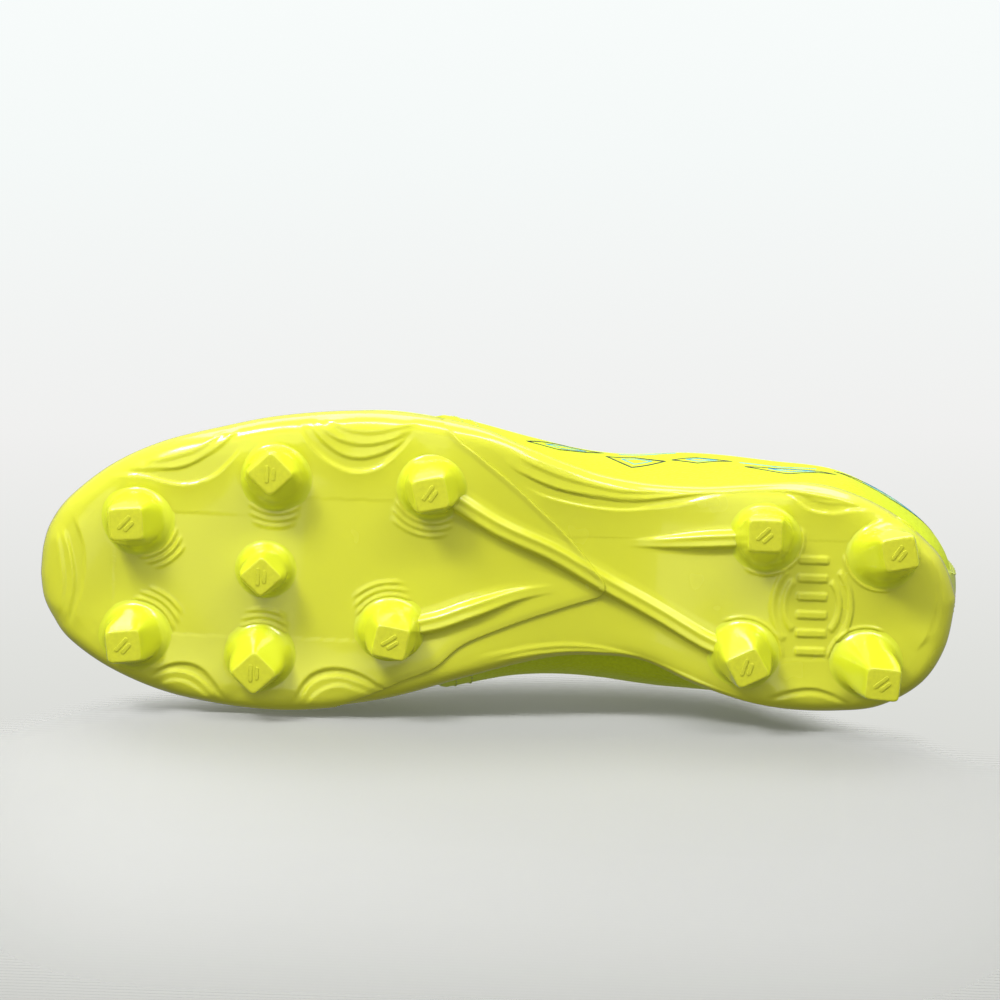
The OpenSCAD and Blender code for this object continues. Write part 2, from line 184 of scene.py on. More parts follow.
def curve(Q, n=8):
    Q = np.asarray(Q, float)
    return spl(Q, np.linspace(0, len(Q) - 1, n*(len(Q) - 1) + 1))


def polydist(P, Q):
    """Distance, side (+ left of travel) and share of the way along Q for points P."""
    best, sg, al = np.full(len(P), 1e9), np.zeros(len(P)), np.zeros(len(P))
    L = np.linalg.norm(np.diff(Q, axis=0), axis=1)
    C = np.concatenate([[0], np.cumsum(L)])
    for j in range(len(Q) - 1):
        ab = Q[j + 1] - Q[j]
        w = P - Q[j]
        t = np.clip((w @ ab)/max(1e-9, ab @ ab), 0, 1)
        r = w - t[:, None]*ab
        d = np.hypot(r[:, 0], r[:, 1])
        m = d < best
        best[m] = d[m]
        sg[m] = np.sign(ab[0]*w[m, 1] - ab[1]*w[m, 0])
        al[m] = (C[j] + t[m]*L[j])/C[-1]
    return best, sg, al


# ------------------------------------------------------------------ tables, mm
STUDS = [
    ("stud_toe_lateral", (17, -114), (18.2, -117), -5, 1, 4), ("stud_toe_medial", (-21.5, -114), (-22.4, -117), -7, 1, 4),
    ("stud_mid_lateral", (33.5, -71), (37.2, -72.5), -45, 1, 0), ("stud_mid_centre", (2.8, -73.5), (3.2, -74.5), -45, .82, 0),
    ("stud_mid_medial", (-26.2, -74.6), (-28.9, -76), -45, 1, 0), ("stud_ball_lateral", (32.2, -22), (32.2, -22.5), -13, 1, 0),
    ("stud_ball_medial", (-16, -33.6), (-17.3, -33.5), 10, 1, 0), ("stud_heel_front_lateral", (18.5, 82.5), (22.2, 82), 0, 1, 0),
    ("stud_heel_rear_lateral", (14.5, 119.5), (17.7, 124), -12, 1, 0), ("stud_heel_front_medial", (-20.3, 77), (-21.8, 78), -28, 1, 0),
    ("stud_heel_rear_medial", (-21.7, 115.3), (-25.8, 120.5), 4, 1, 0)]
VEE = curve([[80, -40], [51, -17], [43.5, -8.5], [32.5, 4.5], [16.5, 20.5], [7.3, 28.1], [3, 31.5], [0, 33], [-3.5, 32], [-5, 29], [-8, 19.5], [-13, 5], [-20, -10.5], [-28.5, -20], [-34.5, -32.5], [-50, -60], [-80, -90]], 10)
FORE = np.concatenate([VEE, [[-80, -200], [80, -200]]])
WAVES = [  # (o: drops outwards, i: drops inwards), height, points
    ("o", .75, [(29.7, -124.5), (31.6, -114.8), (29.8, -104.7), (29.7, -98), (32.9, -90.2), (39, -84.4), (44.6, -80.5)]),
    ("i", .6, [(33.2, -119.6), (34.4, -109.8), (35.9, -100.1), (41.9, -90.5), (50.9, -80.7)]),
    ("i", .5, [(36, -113), (38, -105.2), (41.5, -95.9), (47.3, -87.2), (52, -76.7)]),
    ("o", .8, [(52.7, -65.6), (47.4, -62.9), (41.2, -57.7), (37.1, -51), (36, -44.9), (38.2, -38.1), (43.8, -32.3), (49.7, -27.4)]),
    ("i", .65, [(52.5, -61.5), (46.7, -56.8), (42.2, -51), (41.1, -44.5), (43.2, -37.5), (48.2, -30)]),
    ("i", .55, [(53.2, -59.7), (48.9, -55.1), (46.2, -49.6), (45.6, -43), (47.2, -36), (51, -28.1)]),
    ("i", .45, [(54, -57), (51.2, -52), (49.6, -46), (49.7, -40), (51.4, -33), (52.5, -26)]),
    ("o", .5, [(18.5, -134.9), (7.9, -130.8), (-4.5, -130.4), (-14.4, -132.6), (-21.6, -134)]),
    ("i", .6, [(13.7, -138.2), (4.7, -135.3), (-4.2, -134), (-12, -134.8), (-19.8, -136.6)]),
    ("i", .5, [(12.1, -140), (4.4, -138.3), (-4.5, -137.2), (-12.3, -137.6), (-17.5, -138.6)]),
    ("o", .8, [(-34.6, -109.6), (-31, -105), (-29.3, -99), (-30.7, -93), (-35.7, -88.1), (-42, -83.8)]),
    ("i", .6, [(-36.8, -109.2), (-33.8, -104.6), (-32.8, -99.2), (-35.1, -93.5), (-41.8, -86.6)]),
    ("i", .5, [(-38.4, -106.5), (-36.4, -102.9), (-36.1, -98.5), (-38.5, -94), (-42, -89.4)]),
    ("o", .8, [(-43, -65.2), (-34.6, -61.4), (-30.3, -56.8), (-28.9, -49.9), (-30.4, -42.9), (-33.8, -36.8), (-36.4, -31.9)]),
    ("i", .6, [(-42.6, -62.5), (-36, -58.9), (-33.1, -55), (-32.1, -49.6), (-33.6, -43.1), (-36.9, -36.4)]),
    ("i", .5, [(-42.7, -60), (-38.4, -56.6), (-36.1, -53), (-35.3, -49), (-36.4, -44), (-38.4, -38.9)]),
    ("o", .5, [(33.6, 5.2), (29.4, 12.6), (25.8, 25.9), (24.7, 39.2), (27.2, 54.6), (30.6, 65.8), (32.6, 74)]),
    ("i", .8, [(43.4, -2.3), (37.6, 5.7), (31.8, 19.1), (28.7, 36.9), (29.6, 50.1), (31.8, 62), (33.2, 71.3), (34.3, 79.8), (34.3, 89.9), (33, 98), (31.5, 107), (28.6, 115)]),
    ("i", .55, [(44.5, 1.2), (39, 11.4), (35.2, 21), (31.7, 34.3), (31.2, 46.6), (32.4, 61.9)]),
    ("o", .65, [(34.4, 86), (31.4, 91.1), (28.2, 96.2), (27.4, 103.1), (28.6, 110.3), (28, 117.2)]),
    ("i", .45, [(34.6, 91.5), (32.4, 96), (31.1, 101.5), (30.9, 107), (30, 113)]),
    ("o", .6, [(-34.4, 84.5), (-31.4, 92), (-30.4, 99), (-32, 105.5), (-35.4, 111.5)]),
    ("i", .5, [(-36.4, 86), (-34, 93), (-33.2, 99.5), (-34.6, 105.5), (-37, 110.5)]),
    ("i", .55, [(-25.2, -9), (-22.6, 2), (-20.8, 12), (-20.3, 22), (-21.3, 32.1), (-24.4, 44.8), (-29.4, 58.7), (-33.6, 70), (-36.4, 80)]),
    ("i", .5, [(-26.4, -4), (-23.6, 7), (-22.4, 17), (-22.2, 27), (-23.6, 38.5), (-27.6, 51.2), (-31.6, 63), (-34.6, 73)]),
    ("o", .45, [(18.1, 131.4), (9.9, 135.3), (-0.2, 136.6), (-11, 134.6), (-18, 130)]),
    ("i", .45, [(16, 133.2), (8.3, 136.9), (-0.1, 138.3), (-9.2, 136.8), (-15, 133.6)])]
# arcs beside the studs: stud, first radius, mid angle, half span, how many
ARCS = [(0, 12.3, 154, 42, 3), (1, 12.4, 24, 44, 3), (2, 12, 184, 42, 3), (4, 11.2, 12, 44, 3), (5, 12.2, 172, 50, 3),
        (6, 11.7, 12, 46, 3), (7, 11.9, 166, 68, 1), (8, 12, 208, 56, 1), (9, 12, 18, 62, 1), (10, 11.9, -32, 58, 1)]
ARC_DIR = {0: (138, 40), 1: (38, 42), 2: (182, 42), 4: (6, 42), 5: (196, 52), 6: (-18, 50), 7: (140, 70), 8: (218, 52), 9: (32, 66), 10: (-30, 58)}
RIBS = [([(32.2, -22), (26.1, -12.2), (18.9, -.6), (11.1, 15.4), (1.2, 31.7), (-9, 50.6), (-17.5, 66.4), (-20.3, 77)], 2.5, 3.5, None),
        ([(-16, -33.6), (-12.8, -20), (-8.2, -8.5), (-3.2, 5), (-.9, 18.9)], 2.4, 3.6, (.42, 1)),
        ([(18.5, 82.5), (17.3, 71.3), (16.2, 62.5), (14.6, 50.2), (13.9, 37.9)], 2.3, 3.3, (.34, 1))]
MOTIF = (-3.3, 97.8)


def features(P, d):
    """Height of the moulded detail above the smooth underside at points (n, 2); d is the inset."""
    h = np.zeros(len(P))
    spine = np.stack([np.zeros(len(P)), np.clip(P[:, 1], -105, 108)], 1)
    near = np.full(len(P), 1e9)
    for s in STUDS:
        near = np.minimum(near, np.hypot(P[:, 0] - s[1][0], P[:, 1] - s[1][1])/s[4])
    clear = step(9.5, 12.5, near)

    def local(Q, r):
        lo, hi = Q.min(0) - r, Q.max(0) + r
        return np.nonzero(((P > lo) & (P < hi)).all(1))[0]
    for kind, H, pts in WAVES:
        Q = curve(pts, 6)
        ix = local(Q, 9)
        if not len(ix):
            continue
        dist, sg, al = polydist(P[ix], Q)
        c = Q[len(Q)//2]
        tan = Q[len(Q)//2 + 1] - Q[len(Q)//2 - 1]
        left = np.array([-tan[1], tan[0]])
        out = c - np.array([0, np.clip(c[1], -100, 104)])
        s = dist*sg*np.sign(left @ out)          # positive outwards
        if kind == "o":
            f = np.where(s < 0, np.exp(np.minimum(s, 0)/4.6), 1 - step(0, 1.0, s))
        else:
            f = np.where(s > 0, np.exp(-np.maximum(s, 0)/2.6), 1 - step(0, .95, -s))
        w = step(0, .16, al)*(1 - step(.84, 1, al))*step(-.2, 1.4, d[ix])
        h[ix] += H*f*w*clear[ix]
    for i, r0, _, _, n in ARCS:
        c = np.array(STUDS[i][1])
        mid, span = ARC_DIR[i]
        v = P - c
        r = np.hypot(v[:, 0], v[:, 1])
        a = np.abs((np.degrees(np.arctan2(v[:, 1], v[:, 0])) - mid + 180) % 360 - 180)
        for k in range(n):
            rr, sp = r0 + 2.15*k, span - 9*k
            x = np.abs(r - rr)
            h += .5*(1 - step(.12, .85, x))*(1 - step(sp - 12, sp + 2, a))*step(.6, 2.2, d)
    for pts, H, w, fade in RIBS:
        Q = curve(pts, 8)
        ix = local(Q, 2*w)
        dist, sg, al = polydist(P[ix], Q)
        k = np.ones(len(ix)) if fade is None else 1 - step(fade[0], fade[1], al)
        a = dist/(w*(.55 + .45*k))
        f = .88*(1 - step(.5, .98, a)) + .12*(1 - step(.8, 1.6, a)) - .11*(1 - step(.05, .46, a))*k
        h[ix] = np.maximum(h[ix], H*k*f)
    # grip motif under the heel: short bars between two brackets
    v = P - np.array(MOTIF)
    for j in range(6):
        x = v[:, 0] - (j - 2.5)*6.1
        q = np.hypot(np.maximum(np.abs(x) - .7, 0), np.maximum(np.abs(v[:, 1]) - 4.1, 0))
        h += .55*(1 - step(.25, .85, q))
    for sgn in (-1, 1):
        r = np.hypot(v[:, 0]*.78, v[:, 1])
        a = np.abs((np.degrees(np.arctan2(v[:, 0]*.78, v[:, 1]*sgn)) + 180) % 360 - 180)
        for rr in (8.6, 12.2):
            h += .5*(1 - step(.5, 1.15, np.abs(r - rr)))*(1 - step(44, 50, a))
    return h


def fore_lift(P):
    """The forefoot plate stands a little proud where it ends in the V."""
    dist, _, _ = polydist(P, VEE)
    return .8*(1 - step(1, 17, dist)), dist


# ------------------------------------------------------------------ mesh helpers
def M(p):
    p = np.array(p, float)
    p[:, 0] = p[:, 0]*XS + CX
    return p/1000


def build(name, V, faces, mats, sharp=None, midx=None, smooth=True):
    me = bpy.data.meshes.new(name)
    V = M(V)
    faces = [np.asarray(f, np.int32) for f in faces if len(f)]
    loops = np.concatenate([f.ravel() for f in faces])
    counts = np.concatenate([np.full(len(f), f.shape[1], np.int32) for f in faces])
    me.vertices.add(len(V))
    me.vertices.foreach_set("co", V.ravel().astype(np.float32))
    me.loops.add(len(loops))
    me.loops.foreach_set("vertex_index", loops)
    me.polygons.add(len(counts))
    me.polygons.foreach_set("loop_start", np.concatenate([[0], np.cumsum(counts)[:-1]]).astype(np.int32))
    me.update(calc_edges=True)
    me.validate()
    for m in (mats if isinstance(mats, (list, tuple)) else [mats]):
        me.materials.append(m)
    if midx is not None and len(midx) == len(me.polygons):
        me.polygons.foreach_set("material_index", np.asarray(midx, np.int32))
    if smooth:
        me.shade_smooth()
        if sharp is not None:
            me.set_sharp_from_angle(angle=math.radians(sharp))
    ob = bpy.data.objects.new(name, me)
    bpy.context.scene.collection.objects.link(ob)
    return ob


def grid_faces(A, B, wrap_a=False, wrap_b=False, off=0):
    a = np.arange(A if wrap_a else A - 1)
    b = np.arange(B if wrap_b else B - 1)
    a, b = np.meshgrid(a, b, indexing="ij")
    a2, b2 = (a + 1) % A, (b + 1) % B
    return np.stack([a*B + b, a2*B + b, a2*B + b2, a*B + b2], -1).reshape(-1, 4) + off


def join(parts):
    """[(V, [faces])] -> V, [faces], part index of each face."""
    Vs, Fs, ids, o = [], {3: [], 4: []}, {3: [], 4: []}, 0
    for i, (V, F) in enumerate(parts):
        Vs.append(V)
        for f in F:
            f = np.asarray(f)
            if len(f):
                Fs[f.shape[1]].append(f + o)
                ids[f.shape[1]].append(np.full(len(f), i))
        o += len(V)
    faces = [np.concatenate(Fs[k]) for k in (4, 3) if Fs[k]]
    idx = np.concatenate([np.concatenate(ids[k]) for k in (4, 3) if ids[k]])
    return np.concatenate(Vs), faces, idx


# ------------------------------------------------------------------ materials
def srgb(r, g, b):
    f = lambda c: (c/255/12.92) if c/255 <= .04045 else ((c/255 + .055)/1.055)**2.4
    return (f(r), f(g), f(b), 1)


class Mat:
    def __init__(self, name, base, rough=.5, **kw):
        self.m = bpy.data.materials.new(name)
        self.m.use_nodes = True
        self.t = self.m.node_tree
        self.b = self.t.nodes["Principled BSDF"]
        self.b.inputs["Base Color"].default_value = base
        self.b.inputs["Roughness"].default_value = rough
        for k, v in kw.items():
            self.b.inputs[k.replace("_", " ")].default_value = v
        self.co = self.node("ShaderNodeTexCoord").outputs["Object"]
        self.base = base

    def node(self, kind, **kw):
        n = self.t.nodes.new(kind)
        for k, v in kw.items():
            if k in n.inputs.keys() or k.replace("_", " ") in n.inputs.keys():
                n.inputs[k if k in n.inputs.keys() else k.replace("_", " ")].default_value = v
            else:
                setattr(n, k, v)
        return n

    def link(self, a, b):
        self.t.links.new(a, b)

    def noise(self, scale, detail=3, rough=.5, co=None):
        n = self.node("ShaderNodeTexNoise", Scale=scale, Detail=detail, Roughness=rough)
        self.link(co or self.co, n.inputs["Vector"])
        return n.outputs["Fac"]

    def voronoi(self, scale, feature="F1", rand=1.0, co=None):
        n = self.node("ShaderNodeTexVoronoi", Scale=scale)
        n.feature = feature
        n.inputs["Randomness"].default_value = rand
        self.link(co or self.co, n.inputs["Vector"])
        return n.outputs["Distance"]

    def wave(self, scale, direction="X", dist=0, co=None, profile="SIN"):
        n = self.node("ShaderNodeTexWave", Scale=scale, Distortion=dist)
        n.bands_direction = direction
        n.wave_profile = profile
        self.link(co or self.co, n.inputs["Vector"])
        return n.outputs["Fac"]

    def math(self, op, a, b=None, c=None):
        n = self.node("ShaderNodeMath")
        n.operation = op
        for i, v in enumerate((a, b, c)):
            if v is None:
                continue
            if hasattr(v, "is_linked"):
                self.link(v, n.inputs[i])
            else:
                n.inputs[i].default_value = v
        return n.outputs[0]

    def ramp(self, fac, stops):
        n = self.node("ShaderNodeValToRGB")
        self.link(fac, n.inputs[0])
        e = n.color_ramp.elements
        while len(e) < len(stops):
            e.new(.5)
        for x, (p, c) in zip(e, stops):
            x.position, x.color = p, c if len(c) == 4 else (*c, 1)
        return n.outputs[0]

    def color(self, out):
        self.link(out, self.b.inputs["Base Color"])
        return self

    def rough(self, fac, lo, hi):
        n = self.node("ShaderNodeMapRange")
        self.link(fac, n.inputs[0])
        n.inputs[3].default_value, n.inputs[4].default_value = lo, hi
        self.link(n.outputs[0], self.b.inputs["Roughness"])
        return self

    def bump(self, h, dist, strength=1.0):
        n = self.node("ShaderNodeBump", Strength=strength, Distance=dist)
        self.link(h, n.inputs["Height"])
        prev = self.b.inputs["Normal"]
        if prev.is_linked:
            self.link(prev.links[0].from_socket, n.inputs["Normal"])
        self.link(n.outputs[0], self.b.inputs["Normal"])
        return self


def mul(c, k, g=None, b=None):
    g, b = (k if g is None else g), (k if b is None else b)
    return (c[0]*k, c[1]*g, c[2]*b, 1)


PLATE = srgb(217, 219, 47)
UPPER = srgb(210, 226, 24)


def tpu(name, base, rough=.3, coat=.55):
    m = Mat(name, base, rough, Coat_Weight=coat, Coat_Roughness=.06, Specular_IOR_Level=.5,
            Subsurface_Weight=.18, Subsurface_Scale=.004)
    m.b.inputs["Subsurface Radius"].default_value = (1, .95, .18)
    n = m.noise(14, 2)
    m.color(m.ramp(n, [(.3, mul(base, .965)), (.7, mul(base, 1.02))]))
    m.rough(m.noise(60, 2), rough*.82, rough*1.18)
    m.bump(m.noise(900, 2), .00004, .25)
    return m


m_plate = tpu("tpu_forefoot", PLATE, .25, .8)
m_heel = tpu("tpu_heel", mul(PLATE, .985), .26, .8)
m_stud = tpu("tpu_stud", srgb(222, 230, 44), .24, .7)
m_tip = Mat("tpu_stud_tip", mul(PLATE, .93), .56, Specular_IOR_Level=.4, Subsurface_Weight=.15, Subsurface_Scale=.003)
m_tip.b.inputs["Subsurface Radius"].default_value = (1, .95, .2)
m_tip.color(m_tip.ramp(m_tip.noise(700, 3), [(.3, mul(PLATE, .88)), (.7, mul(PLATE, .97))])).bump(m_tip.noise(2200, 3), .0001, .5)


def grain_skin(name, base, rough=.42):
    m = Mat(name, base, rough, Specular_IOR_Level=.28)
    v = m.voronoi(950, "SMOOTH_F1")
    m.color(m.ramp(m.math("ADD", m.math("MULTIPLY", v, .55), m.math("MULTIPLY", m.noise(25, 3), .5)),
                   [(.25, mul(base, 1.04)), (.7, mul(base, .9, .9, .8))]))
    m.rough(v, rough*.85, rough*1.25)
    m.bump(v, .00035, .55).bump(m.noise(2600, 2), .00008, .3)
    return m


m_upper = grain_skin("grained_skin", UPPER, .5)
m_upper2 = grain_skin("grained_skin_quarter", mul(UPPER, .985, 1, 1), .5)


def weave(name, base, scale=900, rough=.75, depth=.0003, sheen=.25):
    m = Mat(name, base, rough, Sheen_Weight=sheen, Sheen_Roughness=.5, Specular_IOR_Level=.3)
    w = m.math("MAXIMUM", m.wave(scale, "Y"), m.wave(scale, "Z"))
    w = m.math("MULTIPLY", w, m.wave(scale*.5, "X"))
    n = m.noise(120, 4)
    m.color(m.ramp(m.math("ADD", m.math("MULTIPLY", w, .6), m.math("MULTIPLY", n, .4)), [(.15, mul(base, .55)), (.75, mul(base, 1.25))]))
    m.bump(w, depth, .6)
    return m


m_lining = weave("lining_mesh", srgb(52, 56, 60), 800)
m_collar = weave("collar_knit", srgb(44, 48, 52), 620, .8, .0004, .4)
m_tongue = weave("tongue_mesh", srgb(46, 50, 54), 560, .78, .0005, .35)
m_bind = weave("binding_tape", srgb(204, 220, 34), 1100, .7, .0002)
m_sock = weave("sockliner_fabric", srgb(66, 70, 76), 900, .85, .0002, .3)
m_trim = Mat("trim_film", srgb(206, 222, 30), .34, Coat_Weight=.3, Coat_Roughness=.2)
m_trim.color(m_trim.ramp(m_trim.noise(40, 3), [(.3, srgb(200, 216, 24)), (.7, srgb(214, 228, 36))])).bump(m_trim.voronoi(1300), .00015, .5)
m_ring = Mat("eyelet_lacquer", srgb(22, 24, 26), .3, Metallic=.2, Coat_Weight=.4)
m_ring.rough(m_ring.noise(300, 2), .24, .4)
m_hole = Mat("eyelet_shadow", srgb(9, 9, 10), .9)
m_hole.color(m_hole.ramp(m_hole.noise(200, 2), [(.3, srgb(7, 7, 8)), (.7, srgb(13, 13, 14))]))
m_thread = Mat("thread", srgb(188, 202, 40), .6, Sheen_Weight=.3)
m_thread.color(m_thread.ramp(m_thread.wave(2600, "Y"), [(.2, srgb(160, 174, 26)), (.8, srgb(206, 220, 60))])).bump(m_thread.wave(2600, "Y"), .0001, .5)
m_black = Mat("print_black", srgb(20, 24, 30), .42)
m_black.color(m_black.ramp(m_black.noise(500, 2), [(.3, srgb(14, 18, 24)), (.7, srgb(30, 34, 40))])).bump(m_black.voronoi(950, "SMOOTH_F1"), .0002, .5)
m_blue = Mat("print_blue", srgb(54, 158, 196), .42)
m_blue.color(m_blue.ramp(m_blue.noise(500, 2), [(.3, srgb(44, 142, 184)), (.7, srgb(84, 184, 208))])).bump(m_blue.voronoi(950, "SMOOTH_F1"), .0002, .5)
m_lace = Mat("lace_braid", srgb(224, 236, 60), .7, Sheen_Weight=.3, Specular_IOR_Level=.3)
m_board = weave("board_fibre", srgb(222, 216, 200), 700, .85, .0002, .1)
m_foam = Mat("foam", srgb(238, 230, 160), .9)
m_foam.color(m_foam.ramp(m_foam.noise(400, 4), [(.3, srgb(224, 214, 140)), (.7, srgb(244, 236, 176))])).bump(m_foam.voronoi(900), .0004, .6)
m_stiff = Mat("stiffener", srgb(226, 226, 220), .6)
m_stiff.color(m_stiff.ramp(m_stiff.noise(150, 3), [(.3, srgb(214, 214, 206)), (.7, srgb(234, 234, 228))])).bump(m_stiff.noise(900, 3), .0001, .4)

# ------------------------------------------------------------------ sole plates
n = 600
_uu = np.linspace(0, NU, 6001)
_a = [np.concatenate([[0], np.cumsum(np.linalg.norm(np.diff(side(_uu, m), axis=0), axis=1))]) for m in (0, 1)]
_a = (_a[0] + _a[1])/2
us = np.interp(np.linspace(0, _a[-1], n + 1), _a, _uu)
e_rim = np.concatenate([np.linspace(4, 3, 5)[:-1], np.linspace(3, 0, 18)])
rim = spl(RIM, e_rim)
rim[:, 1] = np.clip(rim[:, 1], 0, 1)
NRIM, NIN = len(rim), 66
cols_u = np.concatenate([us, us[::-1]])
cols_m = np.concatenate([np.zeros(n + 1, int), np.ones(n + 1, int)])
C = len(cols_u)
SD = np.concatenate([side(us, 0), side(us, 1)[::-1]])
NR = np.concatenate([nrm(us, 0), nrm(us, 1)[::-1]])
for _ in range(40):                       # even the directions out where the two sides meet
    NR = unit(np.roll(NR, 1, 0) + 2*NR + np.roll(NR, -1, 0))
i7 = SD - 7*NR
mid = (i7[:n + 1] + i7[n + 1:][::-1])/2
ys = -108 + 5*np.logaddexp(0, (mid[:, 1] + 108)/5)
ys = 110 - 5*np.logaddexp(0, (110 - ys)/5)
spine = np.stack([np.interp(ys, mid[:, 1], mid[:, 0]), ys], 1)
spine_c = np.concatenate([spine, spine[::-1]])
XY = np.concatenate([SD[:, None] - rim[None, :, 0, None]*NR[:, None],
                     i7[:, None]*(1 - np.arange(1, NIN + 1)/NIN)[None, :, None] + spine_c[:, None]*(np.arange(1, NIN + 1)/NIN)[None, :, None]], 1)
K = XY.shape[1]
Q = np.concatenate([rim[:, 1], np.zeros(NIN)])
Z = zb(XY[..., 1]) + Q[None]*rh(XY[..., 1])
G = np.concatenate([XY, Z[..., None]], 2)
# inset of each grid point: exact on the rim, a fixed 30 mm for the inner rings
D = np.concatenate([np.repeat(rim[None, :, 0], C, 0), np.full((C, NIN), 30.)], 1)
# outward normals
da = np.roll(G, -1, 0) - np.roll(G, 1, 0)
db = np.gradient(G, axis=1)
NN = unit(np.cross(da, db))
flip = np.sign(-NN[:, NRIM + 10, 2]).mean()
NN *= 1 if flip > 0 else -1
yy = XY[:, NRIM:, 1]
dz = (zb(yy + .05) - zb(yy - .05))/.1
NN[:, NRIM:] = unit(np.stack([np.zeros_like(dz), dz, -np.ones_like(dz)], -1))
flat = XY.reshape(-1, 2)
H = features(flat, D.reshape(-1)).reshape(C, K)
lift, vdist = fore_lift(flat)
lift, vdist = lift.reshape(C, K), vdist.reshape(C, K)
fore = inside(flat, FORE).reshape(C, K)
rimfade = 1 - np.clip((Q - .4)/.4, 0, 1)[None]
Vf = G + NN*((H + lift)*rimfade)[..., None]
Vh = G + NN*(H*rimfade)[..., None]
# inner face of the tray
inn = np.array([[.3, 1], [.8, .9], [1.6, .6], [3.2, .06], [7, 0]])
ixy = SD[:, None] - inn[None, :, 0, None]*NR[:, None]
iz = zb(ixy[..., 1]) + np.where(inn[None, :, 1] == 1, rh(ixy[..., 1]), 2.5 + inn[None, :, 1]*np.maximum(.3, rh(ixy[..., 1]) - 2.5)*.98)
jn = np.arange(1, 9)/8
jxy = i7[:, None]*(1 - jn)[None, :, None] + spine_c[:, None]*jn[None, :, None]
I = np.concatenate([np.concatenate([ixy, iz[..., None]], 2), np.concatenate([jxy, (zb(jxy[..., 1]) + 2.5)[..., None]], 2)], 1)


def plate(name, V, keep, mat, extra=()):
    full = np.concatenate([I[:, ::-1], V], 1)          # one sheet from the inner spine round the rim to the outer spine
    B = full.shape[1]
    xy = full[..., :2]
    F = grid_faces(C, B, wrap_a=True)
    a, b = F[:, 0] // B, F[:, 0] % B
    cen = xy.reshape(-1, 2)[F].mean(1)
    # the strips across the toe and heel ends close the ring
    ok = keep(cen)
    P3 = full.reshape(-1, 3)
    nz = np.cross(P3[F[:, 1]] - P3[F[:, 0]], P3[F[:, 3]] - P3[F[:, 0]])[:, 2]
    outer = b > I.shape[1] + NRIM
    if nz[outer].mean() > 0:
        F = F[:, ::-1]
    F = F[ok]
    used, inv = np.unique(F, return_inverse=True)
    parts = [(P3[used], [inv.reshape(F.shape)])] + list(extra)
    V2, F2, _ = join(parts)
    return build(name, V2, F2, mat)


def keep_fore(c):
    near = np.abs(c[:, 1] + 20) < 70
    d = np.full(len(c), 99.)
    d[near] = polydist(c[near], VEE)[0]
    return inside(c, FORE) & (d > .55)


def keep_heel(c):
    near = np.abs(c[:, 1] + 20) < 70
    d = np.full(len(c), 99.)
    d[near] = polydist(c[near], VEE)[0]
    return ~inside(c, FORE) | (d < 1.7)


# the lip along the V: from the plate's face over a rounded edge and down behind the heel plate's face
vs = curve(VEE, 1)
L_ = np.concatenate([[0], np.cumsum(np.linalg.norm(np.diff(VEE, axis=0), axis=1))])
vv = np.stack([np.interp(np.linspace(0, L_[-1], 900), L_, VEE[:, k]) for k in (0, 1)], 1)
vt = unit(np.gradient(vv, axis=0))
vn = np.stack([vt[:, 1], -vt[:, 0]], 1)
if inside(vv[400:401] + vn[400:401]*2, FORE)[0] == False:
    vn = -vn
vd = inset(vv)
okv = vd > .6
first, last = np.argmax(okv), len(okv) - 1 - np.argmax(okv[::-1])
vv, vn = vv[first:last + 1], vn[first:last + 1]
prof = [(1.9, .0, 1), (1.2, .02, 1), (.75, .03, 1), (.4, .0, 1), (.18, -.1, 1), (.05, -.3, 1), (0, -.6, 1), (0, -1.3, 1)]
lip = []
for s, dh, _ in prof:
    p = vv + vn*s
    dd = inset(p)
    base = zplate(p, dd)
    h = features(p, dd) + fore_lift(p)[0]
    lip.append(np.stack([p[:, 0], p[:, 1], base - h - dh], 1))
lip = np.stack(lip, 1)
lipF = grid_faces(lip.shape[0], lip.shape[1])
P3 = lip.reshape(-1, 3)
if np.cross(P3[lipF[:, 1]] - P3[lipF[:, 0]], P3[lipF[:, 3]] - P3[lipF[:, 0]])[:, 2].mean() > 0:
    lipF = lipF[:, ::-1]

o_fore = plate("sole_plate_forefoot", Vf, keep_fore, m_plate.m, [(P3, [lipF])])
o_heel = plate("sole_plate_heel", Vh, keep_heel, m_heel.m)
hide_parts("toe_plate", "ball_plate")
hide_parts("heel_plate")
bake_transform(o_fore)
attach(o_heel, "rearfoot")

# ------------------------------------------------------------------ studs
BODY = {n: o["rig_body"] for n, o in NODES.items()}
PROFILE = np.array([  # depth, radius, squareness, share of the lean
    [-.25, 12.2, 2, 0], [0, 11.8, 2, 0], [.1, 11.25, 2, 0], [.4, 10.5, 2, .02], [1.1, 9.75, 2.05, .06], [2.1, 9.1, 2.15, .13],
    [3.4, 8.5, 2.3, .24], [4.9, 8, 2.6, .38], [6.4, 7.5, 3.1, .53], [7.8, 7.0, 3.8, .67], [9.2, 6.5, 4.8, .81], [10.6, 6.0, 6, .92],
    [11.8, 5.6, 7, .98], [12.4, 5.35, 7.5, 1], [12.65, 5.1, 7.5, 1], [12.75, 4.75, 7.5, 1]])


def superr(r, n_, th):
    return r*(np.abs(np.cos(th))**n_ + np.abs(np.sin(th))**n_)**(-1/n_)


